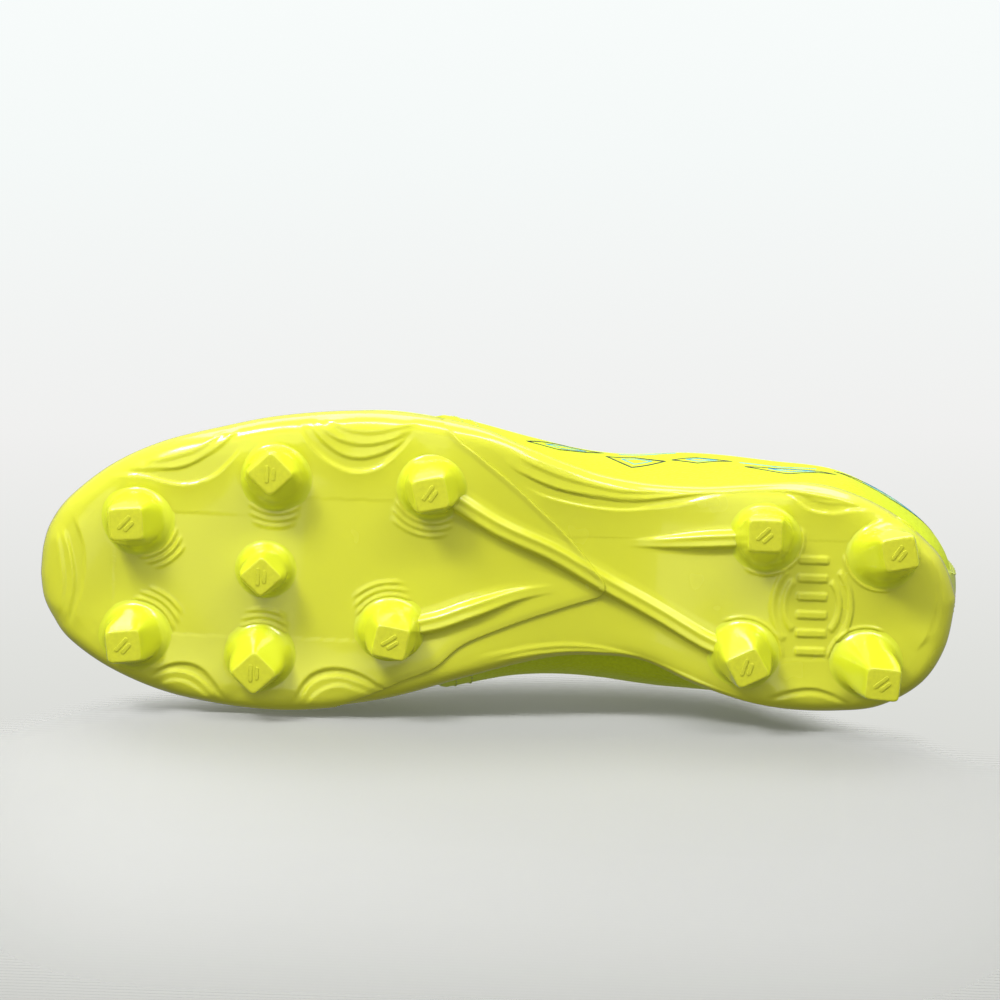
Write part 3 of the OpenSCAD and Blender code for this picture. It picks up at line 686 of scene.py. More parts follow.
def stud(i):
    name, b, tp, turn, f, tz = STUDS[i]
    b, tp = np.array(b, float), np.array(tp, float)
    z0 = float(zb(b[1]))
    N_ = 128
    th = np.linspace(0, 2*np.pi, N_, endpoint=False)
    pr = spl(PROFILE, np.linspace(0, len(PROFILE) - 1, 76))
    rings = []
    ft = .5 + .5*f
    for h, r, q, sh in pr:
        w = step(2, 11, h)
        rad = superr(r*(f + (ft - f)*w), max(2, q), th - math.radians(turn))
        c = b + (tp - b)*sh
        p = c + rad[:, None]*np.stack([np.cos(th), np.sin(th)], 1)
        ab = z0 - h*(z0 - tz)/13
        loc = zplate(p) - h
        k = step(.3, 3.5, h)
        rings.append(np.stack([p[:, 0], p[:, 1], loc*(1 - k) + ab*k], 1))
    tipz = rings[-1][:, 2].mean()
    cen = rings[-1].mean(0)
    for s in (.93, .75, .5, .25):
        rr = cen + (rings[-1] - cen)*s
        rr[:, 2] = tipz
        rings.append(rr)
    R = np.stack(rings)
    V = np.concatenate([R.reshape(-1, 3), [cen]])
    F = grid_faces(len(R), N_, wrap_b=True)
    last = (len(R) - 1)*N_
    T = np.stack([last + np.arange(N_), last + (np.arange(N_) + 1) % N_, np.full(N_, len(V) - 1)], 1)
    # two short raised bars on the tip
    parts = [(V, [F, T])]
    ang = math.radians(turn + 45)
    ca, sa = math.cos(ang), math.sin(ang)
    for off, ln in ((-1.0, 2.3), (1.0, 1.5)):
        m = 10
        a = np.linspace(0, 2*np.pi, 4*m, endpoint=False)
        prof2 = [(.62, 0), (.6, -.16), (.5, -.25), (.3, -.26), (.05, -.26)]
        bars = []
        for rr, zz in prof2:
            x = rr*np.cos(a) + np.sign(np.cos(a))*ln*min(1, rr/.3)
            y = rr*np.sin(a) + off
            bars.append(np.stack([cen[0] + x*ca - y*sa, cen[1] + x*sa + y*ca, np.full(len(a), tipz + zz)], 1))
        Bv = np.concatenate(bars)
        Bf = grid_faces(len(prof2), 4*m, wrap_b=True)
        parts.append((np.concatenate([Bv, [Bv[-4*m:].mean(0)]]), [Bf, np.stack([(len(prof2) - 1)*4*m + np.arange(4*m), (len(prof2) - 1)*4*m + (np.arange(4*m) + 1) % (4*m), np.full(4*m, len(Bv))], 1)]))
    V2, F2, idx = join(parts)
    # outward faces
    out = []
    for f_ in F2:
        c = V2[f_].mean(1)
        nn = np.cross(V2[f_[:, 1]] - V2[f_[:, 0]], V2[f_[:, 2]] - V2[f_[:, 0]])
        ref = np.stack([c[:, 0] - cen[0], c[:, 1] - cen[1], np.full(len(c), -6.)], 1)
        out.append(f_ if (nn*ref).sum(1).mean() > 0 else f_[:, ::-1])
    mi = np.concatenate([(V2[f_].mean(1)[:, 2] < tipz + .12).astype(int) for f_ in out])
    o = build(name.replace("stud", "moulded_stud"), V2, out, [m_stud.m, m_tip.m], sharp=38, midx=mi)
    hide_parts(name)
    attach(o, BODY[name])
    return o


for i in range(len(STUDS)):
    stud(i)

# ------------------------------------------------------------------ upper surface
UP = np.array([
    [[-4, -139.5, 25], [-4, -150, 50], [-2, -108, 64], [0, -32, 79]],
    [[16.5, -132.5, 24], [21, -141, 50], [12, -103, 66], [4.5, -31, 79]],
    [[34, -112, 19.8], [40, -117, 48], [26, -90, 70], [8, -28, 79.5]],
    [[45, -85, 17.2], [52, -86, 46], [36, -66, 73], [10.5, -20, 81]],
    [[51, -50, 16], [57, -50, 45], [42, -44, 76], [12, -6, 85.5]],
    [[49.5, -20, 16], [54, -20, 45], [40, -20, 78], [13.5, 10, 91]],
    [[40.5, 8, 18], [46, 8, 45], [38, 8, 80], [15.5, 27, 98]],
    [[31, 38, 23], [37, 36, 45], [36, 34, 80], [19, 43, 104]],
    [[29.5, 62, 21], [37, 60, 42], [38, 58, 72], [28, 60, 88]],
    [[32, 85, 16.6], [38, 85, 36], [36, 84, 60], [31, 84, 72]],
    [[30, 107, 16], [36, 110, 36], [33, 108, 62], [26, 106, 76]],
    [[14, 131.5, 16], [18, 140, 38], [17, 132, 68], [13, 126, 86]],
    [[-1, 138, 16], [-1, 149, 38], [-1, 138, 70], [-1, 132.5, 92]],
    [[-20.5, 132.3, 16], [-23.5, 140.5, 38], [-20.5, 132, 68], [-15, 126, 86]],
    [[-35, 107, 16], [-40.8, 110.5, 36], [-35, 108, 62], [-28, 106, 76]],
    [[-34.4, 85, 16.6], [-42.5, 86, 36], [-38, 84, 60], [-32, 84, 72]],
    [[-27.8, 60, 21], [-42, 58, 42], [-42, 56, 72], [-28, 60, 88]],
    [[-21, 36, 23], [-39, 32, 40], [-44, 30, 78], [-19, 43, 104]],
    [[-23, 8, 18], [-38, 6, 42], [-40, 4, 80], [-15.5, 27, 98]],
    [[-32, -20, 16], [-41, -20, 45], [-37, -20, 78], [-13.5, 10, 91]],
    [[-39.7, -50, 16], [-46, -50, 45], [-37, -44, 76], [-12, -6, 85.5]],
    [[-41, -82, 17], [-48, -84, 46], [-34, -66, 73], [-10, -20, 81]],
    [[-35.5, -109, 19.6], [-42, -114, 48], [-28, -90, 70], [-7.5, -28, 79.5]],
    [[-21.5, -132.5, 24], [-26, -141, 50], [-16, -103, 66], [-4.5, -31, 79]]], float).reshape(24, 12)
NM, GL = 24, .965/9


def S(t, s):
    t, s = np.broadcast_arrays(np.asarray(t, float), np.asarray(s, float))
    sh = t.shape
    q = splr(UP, t.ravel()).reshape(-1, 4, 3)
    s = s.ravel()[:, None]
    r = 1 - s
    return (r**3*q[:, 0] + 3*r*r*s*q[:, 1] + 3*r*s*s*q[:, 2] + s**3*q[:, 3]).reshape(*sh, 3)


def N(t, s):
    t, s = np.broadcast_arrays(np.asarray(t, float), np.asarray(s, float))
    return unit(np.cross(S(t + .06, s) - S(t - .06, s), S(t, np.minimum(1, s + .02)) - S(t, np.maximum(0, s - .02))))


def P(t, s, d):
    return S(t, s) + np.asarray(d, float)[..., None]*N(t, s)


def arch(t, s):
    """Extra fullness of the inner side; t counts from the toe as on the outer side."""
    return 3.4*step(2.6, 4.6, t)*(1 - step(7.2, 9.2, t))*step(0, .2, s)*(1 - step(.34, .62, s))


def swell(t, s):
    t = np.mod(t, 24)
    return np.maximum(0, np.sin(np.pi*step(.6, 1.02, s)))*step(7.2, 8.6, t)*(1 - step(15.4, 16.8, t))


def shell(T, Sg, do, di, closed=False):
    """Closed thin shell over a (t, s) grid, outer face at do, inner face at di."""
    A, B = T.shape
    o, i = P(T, Sg, do), P(T, Sg, di)
    loop = np.concatenate([o, i[:, ::-1]], 1)
    V = loop.reshape(-1, 3)
    F = grid_faces(A, 2*B, wrap_a=closed, wrap_b=True)
    faces = [F]
    if not closed:
        for a, f in ((0, 1), (A - 1, -1)):
            b = np.arange(B - 1)
            q = np.stack([a*2*B + b, a*2*B + b + 1, a*2*B + 2*B - 2 - b, a*2*B + 2*B - 1 - b], 1)
            faces.append(q if f > 0 else q[:, ::-1])
    # orient outwards
    k = (A//2)*2*B + B//2
    f0 = F[(A//2)*(2*B) + B//2]
    nn = np.cross(V[f0[1]] - V[f0[0]], V[f0[2]] - V[f0[0]])
    if nn @ N(T[A//2, B//2], Sg[A//2, B//2]) < 0:
        faces = [f[:, ::-1] for f in faces]
    return V, faces


def soft(o, *nodes, slot=None):
    if nodes:
        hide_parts(*nodes)
    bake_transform(o)
    return o


def mesh_grid(t0, t1, s0, s1, nt, ns):
    a, b = np.meshgrid(np.linspace(0, 1, nt), np.linspace(0, 1, ns), indexing="ij")
    return t0(b) + (t1(b) - t0(b))*a if callable(t0) else t0 + (t1 - t0)*a, s0 + (s1 - s0)*b


# vamp, with shallow pressed ribs over the toe and soft flex creases
T, Sg = mesh_grid(-5.7, 5.7, 0, .985, 300, 84)


def vamp_relief(t, s):
    r = np.zeros_like(t)
    for k in range(6):
        c = .30 + .085*k + .012*np.abs(t)**1.4
        r += .55*np.exp(-((s - c)/.0095)**2)*step(.2, .5, 4.2 - np.abs(t))*(1 - step(3.2, 4.1, np.abs(t)))
    for k, (c, w) in enumerate(((.12, .02), (.2, .03))):
        r -= .25*np.exp(-((s - c - .01*np.sin(t*2 + k))/w)**2)*step(3.0, 4.4, np.abs(t))
    return r


rel = vamp_relief(T, Sg)
edge_top = step(.955, .985, Sg)
rel -= .9*(1 - step(.4, .7, Sg))*step(-4.6, -3.6, T)*(1 - step(3.6, 4.6, T))
rel += np.where(T < 0, arch(-T, Sg), 0)
V, F = shell(T, Sg, rel - .5*edge_top, np.full(T.shape, -1.9))
o_vamp = build("vamp", V, F, m_upper.m, sharp=50)
soft(o_vamp, "vamp_toe", "vamp_flex", slot="upper")


# quarters lap over the vamp along a curved edge
def lap(s):
    return 4.55 + .55*np.cos(3.0*(s - .15)) - .25*s


def quarter(name, sgn, nodes):
    T, Sg = mesh_grid(lambda s: lap(s), lambda s: 12.0 + 0*s, 0, .985, 240, 84)
    a = (T - lap(Sg))
    lift = .95*(1 - step(.15, 1.9, a))*step(0, .05, a) + .35*(1 - step(0, .05, a))
    # long soft folds where the quarter turns in over the arch, and a moulded heel line
    fold = .35*np.sin(9*Sg + 1.3*T)*step(6, 7.2, T)*(1 - step(9, 10.5, T))*step(.25, .45, Sg)*(1 - step(.75, .95, Sg))
    heel = -.45*np.exp(-((Sg - .62 - .02*np.cos(T))/.012)**2)*step(9.2, 9.8, T)
    do = lift + fold + heel - .5*step(.955, .985, Sg)
    if sgn < 0:                            # the fuller inner side over the arch
        do = do + arch(T, Sg)
    di = np.where(a < 1.4, .05 + 0*a, -1.35*step(1.4, 2.2, a))
    di = np.minimum(di, do - .3)
    tt = T if sgn > 0 else NM - T
    V, F = shell(tt, Sg, do, di)
    o = build(name, V, F, m_upper2.m, sharp=50)
    return soft(o, *nodes, slot="upper")


quarter("quarter_lateral", 1, ["lateral_quarter"])
quarter("quarter_medial", -1, ["medial_quarter"])

# lining, one sock-like sheet
tt = np.linspace(0, 24, 241)[:-1]
T, Sg = np.meshgrid(tt, np.linspace(.02, .985, 60), indexing="ij")
dl = -3.1 - 3.6*swell(T, Sg)
V, F = shell(T, Sg, dl, dl - .8, closed=True)
o_lin = build("lining", V, F, m_lining.m, sharp=50)
soft(o_lin, "vamp_lining_toe", "vamp_lining_flex", "quarter_lining", slot="lining")

# backstay, wider near the sole
T, Sg = mesh_grid(0, 1, .1, .985, 36, 90)
wid = .33 + .3*step(.3, 0, Sg) - .06*step(.5, .9, Sg)
TT = 12 + (T*2 - 1)*wid
ed = 1 - np.abs(T*2 - 1)
V, F = shell(TT, Sg, .35 + .95*step(0, .22, ed) - .4*step(.955, .985, Sg), np.full(TT.shape, -.2))
o_back = build("backstay_cover", V, F, m_trim.m, sharp=50)
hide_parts("backstay")
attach(o_back, "rearfoot")

# eyestays
EY = [3.2, 3.9, 4.6, 5.3, 6.0, 6.65]
ES = .895


def eyestay(name, sgn, node):
    T, Sg = mesh_grid(0, 1, 0, 1, 220, 34)
    t = 2.1 + 4.95*T
    low = .80 + .012*np.sin(t*2.2) + .06*step(2.6, 2.0, t) + .03*step(6.5, 7.1, t)
    s = low + (.99 - low)*Sg
    ed = np.minimum(np.minimum(T*4.95/.16, (1 - T)*4.95/.12), np.minimum(Sg/.12, (1 - Sg)/.1))
    tt = t if sgn > 0 else NM - t
    V, F = shell(tt, s, 1.05 + .85*step(0, 1, ed), np.full(t.shape, .2))
    o = build(name, V, F, m_trim.m, sharp=50)
    return soft(o, node, slot="trim")


eyestay("eyestay_cover_lateral", 1, "eyestay_lateral")
eyestay("eyestay_cover_medial", -1, "eyestay_medial")


def frame_at(t, s, d):
    p = P(np.array([t]), np.array([s]), np.array([d]))[0]
    n_ = N(np.array([t]), np.array([s]))[0]
    a = unit((S(np.array([t + .05]), np.array([s])) - S(np.array([t - .05]), np.array([s])))[0])
    return p, n_, a, np.cross(n_, a)


def eyelets(name, sgn):
    parts, mi = [], []
    prof = [(3.3, -.6), (3.4, -.1), (3.25, .35), (2.85, .55), (2.45, .45), (2.2, .1), (2.15, -.8), (1.9, -1.5), (1.2, -1.7), (.4, -1.7)]
    N_ = 32
    th = np.linspace(0, 2*np.pi, N_, endpoint=False)
    for t in EY:
        p, n_, a, b = frame_at(t if sgn > 0 else NM - t, ES, 1.9)
        R = np.stack([p + r*(np.cos(th)[:, None]*a + np.sin(th)[:, None]*b) + z*n_ for r, z in prof])
        F = grid_faces(len(prof), N_, wrap_b=True)
        V = R.reshape(-1, 3)
        nn = np.cross(V[F[40, 1]] - V[F[40, 0]], V[F[40, 2]] - V[F[40, 0]])
        c = V[F[40]].mean(0) - p
        if nn @ c < 0:
            F = F[:, ::-1]
        parts.append((V, [F]))
        mi.append(np.repeat(np.array([0]*6 + [1]*3), N_))
    V, F, _ = join(parts)
    o = build(name, V, F, [m_ring.m, m_hole.m], sharp=60, midx=np.concatenate(mi))
    return soft(o, slot="trim")


eyelets("eyelets_lateral", 1)
eyelets("eyelets_medial", -1)


# ------------------------------------------------------------------ stitching
def along(path, stepmm):
    """Points every stepmm along a polyline, with tangents."""
    L = np.concatenate([[0], np.cumsum(np.linalg.norm(np.diff(path, axis=0), axis=1))])
    x = np.arange(stepmm/2, L[-1], stepmm)
    p = np.stack([np.interp(x, L, path[:, k]) for k in range(3)], 1)
    q = np.stack([np.interp(x + .3, L, path[:, k]) for k in range(3)], 1)
    return p, unit(q - p), x, L


def stitches(rows, length=2.3, gap=1.1, r=.3):
    parts = []
    for t, s, d in rows:
        path = P(t, s, d)
        nor = N(t, s)
        p, tg_, x, L = along(path, length + gap)
        nn = unit(np.stack([np.interp(x, L, nor[:, k]) for k in range(3)], 1))
        for a, b, c in zip(p, tg_, nn):
            w = np.cross(b, c)
            sec = []
            for u, k in ((-.5, .35), (-.38, .9), (0, 1), (.38, .9), (.5, .35)):
                th = np.linspace(0, 2*np.pi, 8, endpoint=False)
                lift = .28*(1 - (2*u)**2)
                sec.append(a + b*u*length + (np.cos(th)[:, None]*w + np.sin(th)[:, None]*c*.8)*r*k + c*(lift - .12))
            V = np.concatenate(sec)
            F = grid_faces(5, 8, wrap_b=True)
            cap = np.array([[0, 1, 2, 3], [0, 3, 4, 7], [4, 5, 6, 7]])
            parts.append((V, [F, cap, cap + 32]))
    V, F, _ = join(parts)
    return V, F


def lin(a, b, n_=160):
    return np.linspace(a, b, n_)


rows = []
s_ = lin(.06, .79)
for off in (.16, .34):
    for sg in (1, -1):
        t_ = lap(s_) + off
        rows.append((t_ if sg > 0 else NM - t_, s_, .95*(1 - step(.15, 1.9, off)) + (arch(t_, s_) if sg < 0 else np.zeros_like(s_))))
for sg in (1, -1):
    t_ = lin(2.3, 6.95, 300)
    low = .80 + .012*np.sin(t_*2.2) + .06*step(2.6, 2.0, t_) + .03*step(6.5, 7.1, t_)
    rows.append((t_ if sg > 0 else NM - t_, low + .018, np.full_like(t_, 1.75)))
    rows.append((t_ if sg > 0 else NM - t_, np.full_like(t_, .968), np.full_like(t_, 1.8)))
    rows.append((lin(7.3, 11.6, 300) if sg > 0 else NM - lin(7.3, 11.6, 300), np.full(300, .945), np.zeros(300)))
    s2 = lin(.14, .94)
    w2 = .33 + .3*step(.3, 0, s2) - .06*step(.5, .9, s2) - .09
    rows.append((12 + sg*w2, s2, np.full_like(s2, 1.25)))
V, F = stitches(rows)
o_st = build("stitching", V, F, m_thread.m)
soft(o_st, slot="trim")


# ------------------------------------------------------------------ padded pieces
def pad_mesh(o, voxel, cap, frames=16, pressure=4.0, sub=True):
    """Fills a closed form as cloth under pressure, as a sewn pad swells. Returns nothing; o's mesh is changed."""
    sc = bpy.context.scene
    for x in bpy.context.selected_objects:
        x.select_set(False)
    bpy.context.view_layer.objects.active = o
    md = o.modifiers.new("remesh", "REMESH")
    md.mode, md.voxel_size, md.use_smooth_shade = "VOXEL", voxel, True
    dg = bpy.context.evaluated_depsgraph_get()
    me = bpy.data.meshes.new_from_object(o.evaluated_get(dg))
    o.modifiers.clear()
    mats = list(o.data.materials)
    o.data = me
    if not me.materials:
        for m in mats:
            me.materials.append(m)
    rest = np.array([v.co for v in me.vertices], float)
    cl = o.modifiers.new("cloth", "CLOTH")
    st = cl.settings
    st.quality = 5
    st.mass = .15
    st.tension_stiffness = st.compression_stiffness = 18
    st.bending_stiffness = .6
    st.use_pressure = True
    st.uniform_pressure_force = pressure
    st.effector_weights.gravity = 0
    cl.collision_settings.use_collision = False
    cl.point_cache.frame_start, cl.point_cache.frame_end = 1, frames
    for f in range(1, frames + 1):
        sc.frame_set(f)
    dg = bpy.context.evaluated_depsgraph_get()
    ev = o.evaluated_get(dg)
    co = np.array([v.co for v in ev.data.vertices], float)
    o.modifiers.clear()
    sc.frame_set(1)
    mv = co - rest
    ln = np.linalg.norm(mv, axis=1, keepdims=True)
    mv *= np.minimum(1, cap/np.maximum(ln, 1e-9))
    me.vertices.foreach_set("co", (rest + mv).astype(np.float32).ravel())
    me.update()
    if sub:
        md = o.modifiers.new("sub", "SUBSURF")
        md.levels = md.render_levels = 1
        dg = bpy.context.evaluated_depsgraph_get()
        m2 = bpy.data.meshes.new_from_object(o.evaluated_get(dg))
        o.modifiers.clear()
        o.data = m2
    o.data.shade_smooth()


def displace(o, f):
    """Moves the mesh of o by f(points in mm of the outline frame, normals)."""
    me = o.data
    co = np.array([v.co for v in me.vertices], float)*1000
    co[:, 0] = (co[:, 0] - CX)/XS
    no = np.array([v.normal for v in me.vertices], float)
    co = f(co, no)
    me.vertices.foreach_set("co", M(co).astype(np.float32).ravel())
    me.update()


# collar: padded roll inside the ankle, over the top line
A = 150
tc = np.linspace(7.15, 16.85, A)
sec = []
for s, kind in [(x, "o") for x in np.linspace(.66, .99, 12)] + [(1.012, "t0"), (1.02, "t1"), (1.012, "t2")] + [(x, "i") for x in np.linspace(.99, .66, 12)]:
    end = step(7.15, 7.6, tc)*(1 - step(16.4, 16.85, tc))
    if kind == "o":
        d = np.full(A, -1.6)
    elif kind == "i":
        d = -3.9 - 4.4*swell(tc, np.full(A, s))*end - .3
    else:
        d = {"t0": -1.9, "t1": -2.9, "t2": -3.9}[kind] + np.zeros(A)
    ss = np.minimum(s, 1)
    p = P(tc, np.full(A, ss), d)
    if s > 1:
        up = unit(S(tc, np.full(A, 1.)) - S(tc, np.full(A, .96)))
        p = p + up*(s - 1)*55
    sec.append(p)
R = np.stack(sec, 1)
B = R.shape[1]
V = R.reshape(-1, 3)
F = grid_faces(A, B, wrap_b=True)
c0 = np.stack([V[:B].mean(0), V[-B:].mean(0)])
T0 = np.stack([np.arange(B), (np.arange(B) + 1) % B, np.full(B, len(V))], 1)
T1 = np.stack([(A - 1)*B + (np.arange(B) + 1) % B, (A - 1)*B + np.arange(B), np.full(B, len(V) + 1)], 1)
V = np.concatenate([V, c0])
nn = np.cross(V[F[B*70 + 4, 1]] - V[F[B*70 + 4, 0]], V[F[B*70 + 4, 2]] - V[F[B*70 + 4, 0]])
if nn @ N(tc[70:71], np.array([.75]))[0] < 0:
    F, T0, T1 = F[:, ::-1], T0[:, ::-1], T1[:, ::-1]
o_col = build("collar_pad", V, [F, T0, T1], m_collar.m)
pad_mesh(o_col, .0022, .0011)
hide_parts("collar_foam_pad", "collar_binding")
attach(o_col, "rearfoot")

# binding bead along the top line
tb = np.linspace(6.95, 17.05, 260)
up = unit(S(tb, np.ones(260)) - S(tb, np.full(260, .95)))
nb = N(tb, np.full(260, .985))
cen = P(tb, np.full(260, .985), np.full(260, -.9)) + up*.6
th = np.linspace(0, 2*np.pi, 14, endpoint=False)
R = cen[:, None] + nb[:, None]*np.cos(th)[None, :, None]*1.75 + up[:, None]*np.sin(th)[None, :, None]*2.5
F = grid_faces(260, 14, wrap_b=True)
V = R.reshape(-1, 3)
nn = np.cross(V[F[700, 1]] - V[F[700, 0]], V[F[700, 2]] - V[F[700, 0]])
if nn @ (V[F[700]].mean(0) - cen[50]) < 0:
    F = F[:, ::-1]
ends = np.array([[0, i, i + 1] for i in range(1, 13)])
o_bind = build("top_binding", V, [F, ends, ends[:, ::-1] + 259*14], m_bind.m)
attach(o_bind, "rearfoot")

# tongue
TG = np.array([[-36, 70.2, 15], [-26, 72.4, 17], [-13, 76, 18.5], [0, 80, 20], [14, 84.8, 21], [28, 91.2, 21.5], [42, 97.2, 22], [52, 103, 21], [57, 107, 15]], float)


def tg(v, w, d=0):
    q = spl(TG, v)
    return np.stack([w*q[:, 2], q[:, 0], q[:, 1] - 6.5*w*w - 2*np.abs(w)**4 - d], 1)


A = 120
vq = np.linspace(0, 8, A)
ws = np.linspace(-1, 1, 37)
top = np.stack([tg(vq, np.full(A, w), .25 + .5*w**4) for w in ws], 1)
bot = np.stack([tg(vq, np.full(A, w), 4.6*(1 - .55*w*w)) for w in ws[::-1]], 1)
R = np.concatenate([top, bot], 1)
B = R.shape[1]
V = R.reshape(-1, 3)
F = grid_faces(A, B, wrap_b=True)
cap = np.array([[i, i + 1, B - 2 - i, B - 1 - i] for i in range(36)])
nn = np.cross(V[F[B*60 + 18, 1]] - V[F[B*60 + 18, 0]], V[F[B*60 + 18, 2]] - V[F[B*60 + 18, 0]])
F, c1, c2 = (F, cap[:, ::-1], cap + (A - 1)*B) if nn[2] > 0 else (F[:, ::-1], cap, cap[:, ::-1] + (A - 1)*B)
o_tng = build("tongue_pad", V, [F, c1, c2], m_tongue.m, sharp=50)
pad_mesh(o_tng, .0022, .001)


def channels(co, no):
    g = np.zeros(len(co))
    for y in (-20, -9, 2, 13, 24, 35, 46):
        g += np.exp(-((co[:, 1] - y - .004*co[:, 0]**2)/.9)**2)
    for x in (-13, 13):
        g = np.maximum(g, np.exp(-((np.abs(co[:, 0]) - 13.5)/.8)**2))
    m = (no[:, 2] > .3)*g
    co[:, 2] -= .75*np.clip(m, 0, 1)
    co[:, 2] = np.minimum(co[:, 2], 108.5)
    return co


displace(o_tng, channels)
soft(o_tng, "tongue", "tongue_lining", slot="tongue")

# ------------------------------------------------------------------ lace: one flat lace, held in its eyelets
up_d, dn_d = 3.15, -5.9


def ey(m, i, d):
    t = NM - EY[i] if m else EY[i]
    return P(np.array([t]), np.array([ES]), np.array([d]))[0], N(np.array([t]), np.array([ES]))[0]


def edge(m, i, d):
    t = NM - EY[i] if m else EY[i]
    return P(np.array([t]), np.array([1.]), np.array([d]))[0], N(np.array([t]), np.array([1.]))[0]


def cross_run(m, i, hop):
    a, b = ey(m, i, up_d), ey(not m, i + 1, dn_d)
    e0, e1 = edge(m, i, 0), edge(not m, i + 1, 0)
    c = ((e0[0] + e1[0])/2 + np.array([0, 0, hop]), unit(np.array([0, -.3, 1.])))
    return [a, edge(m, i, up_d - .2), c, edge(not m, i + 1, dn_d - .3), b]


def half_lace(m):
    out = []
    for i in range(5):
        out += cross_run(m if i % 2 == 0 else (not m), i, 3.2 if m else -.4)
    return out


def tail(o):
    out = []
    for q, s in ((5.7, .8), (6.1, .81), (6.45, .845)):
        t = abs(o - q)
        out.append((P(np.array([t]), np.array([s]), np.array([dn_d]))[0], N(np.array([t]), np.array([s]))[0]))
    return out


a0, b0 = ey(True, 0, dn_d - .4), ey(False, 0, dn_d - .4)
route = tail(0) + half_lace(True)[::-1] + [(b0[0] + (a0[0] - b0[0])*x, np.array([0, 0, 1.])) for x in (.7, .3)] + half_lace(False) + tail(NM)[::-1]
pts = np.array([r[0] for r in route])
nrs = np.array([r[1] for r in route])
u_ = np.linspace(0, len(pts) - 1, 14*(len(pts) - 1) + 1)
pts, nrs = spl(pts, u_), unit(spl(nrs, u_))
tan = unit(np.gradient(pts, axis=0))
wd = unit(np.cross(tan, nrs))
for _ in range(6):      # turn smoothly where the lace dives through an eyelet
    wd[1:-1] = unit(wd[:-2]*np.sign((wd[:-2]*wd[1:-1]).sum(1))[:, None] + 2*wd[1:-1] + wd[2:]*np.sign((wd[2:]*wd[1:-1]).sum(1))[:, None])
for k in range(1, len(wd)):
    if wd[k] @ wd[k - 1] < 0:
        wd[k] = -wd[k]
nn_ = unit(np.cross(wd, tan))
th = np.linspace(0, 2*np.pi, 16, endpoint=False)
hx, hy = superr(1, 3, th)*np.cos(th), superr(1, 3, th)*np.sin(th)
R = pts[:, None] + wd[:, None]*hx[None, :, None]*1.95 + nn_[:, None]*hy[None, :, None]*.85
V = R.reshape(-1, 3)
F = grid_faces(len(pts), 16, wrap_b=True)
n0 = np.cross(V[F[1600, 1]] - V[F[1600, 0]], V[F[1600, 2]] - V[F[1600, 0]])
if n0 @ (V[F[1600]].mean(0) - pts[100]) < 0:
    F = F[:, ::-1]
ends = np.array([[0, i, i + 1] for i in range(1, 15)])
o_lace = build("lace_flat", V, [F, ends, ends[:, ::-1] + (len(pts) - 1)*16], m_lace.m, sharp=60)
# the braid runs along the lace: its own coordinates are kept in an attribute
arc = np.concatenate([[0], np.cumsum(np.linalg.norm(np.diff(pts, axis=0), axis=1))])
at = o_lace.data.attributes.new("braid", "FLOAT_VECTOR", "POINT")
uv = np.zeros((len(V), 3), np.float32)
uv[:, 0] = np.repeat(arc, 16)
uv[:, 1] = np.tile(hx*1.95, len(pts))
at.data.foreach_set("vector", uv.ravel())
na = m_lace.node("ShaderNodeAttribute", attribute_name="braid")
sepn = m_lace.node("ShaderNodeSeparateXYZ")
m_lace.link(na.outputs["Vector"], sepn.inputs[0])
dia = [m_lace.math("SINE", m_lace.math("MULTIPLY", m_lace.math(op, sepn.outputs[0], m_lace.math("MULTIPLY", sepn.outputs[1], 1.1)), 4.2)) for op in ("ADD", "SUBTRACT")]
br = m_lace.math("MAXIMUM", dia[0], dia[1])
m_lace.color(m_lace.ramp(br, [(.1, srgb(170, 182, 30)), (.9, srgb(232, 242, 84))])).bump(br, .0003, .6)
soft(o_lace, "lace", slot="lace")

# lace keeper: a stitched webbing loop on the tongue
kc = np.array([0, 45.5, 100.6])
ra = math.radians(23)
path = [(-7.6, .2), (-7.2, 1.7), (-5.4, 3.1), (-2, 3.45), (2, 3.45), (5.4, 3.1), (7.2, 1.7), (7.6, .2)]
pp = spl(np.array(path), np.linspace(0, 7, 60))
tt_ = unit(np.gradient(pp, axis=0))
no_ = np.stack([-tt_[:, 1], tt_[:, 0]], 1)
ring = []
for y, ins_ in ((-4.2, .25), (-4, 0), (4, 0), (4.2, .25)):
    ring.append(np.stack([pp[:, 0] + no_[:, 0]*(.45 - ins_), np.full(60, y), pp[:, 1] + no_[:, 1]*(.45 - ins_)], 1))
for y, ins_ in ((4.2, .25), (4, 0), (-4, 0), (-4.2, .25)):
    ring.append(np.stack([pp[:, 0] - no_[:, 0]*(.45 - ins_), np.full(60, y), pp[:, 1] - no_[:, 1]*(.45 - ins_)], 1))
R = np.stack(ring, 1)
R = R @ np.array([[1, 0, 0], [0, math.cos(ra), -math.sin(ra)], [0, math.sin(ra), math.cos(ra)]]).T + kc
F = grid_faces(60, 8, wrap_b=True)
caps = np.array([[0, 1, 2, 3], [0, 3, 4, 7], [4, 5, 6, 7]])
o_keep = build("lace_keeper_loop", R.reshape(-1, 3), [F, caps, caps[:, ::-1] + 59*8], m_bind.m, sharp=40)
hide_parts("lace_keeper")
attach(o_keep, "rearfoot")

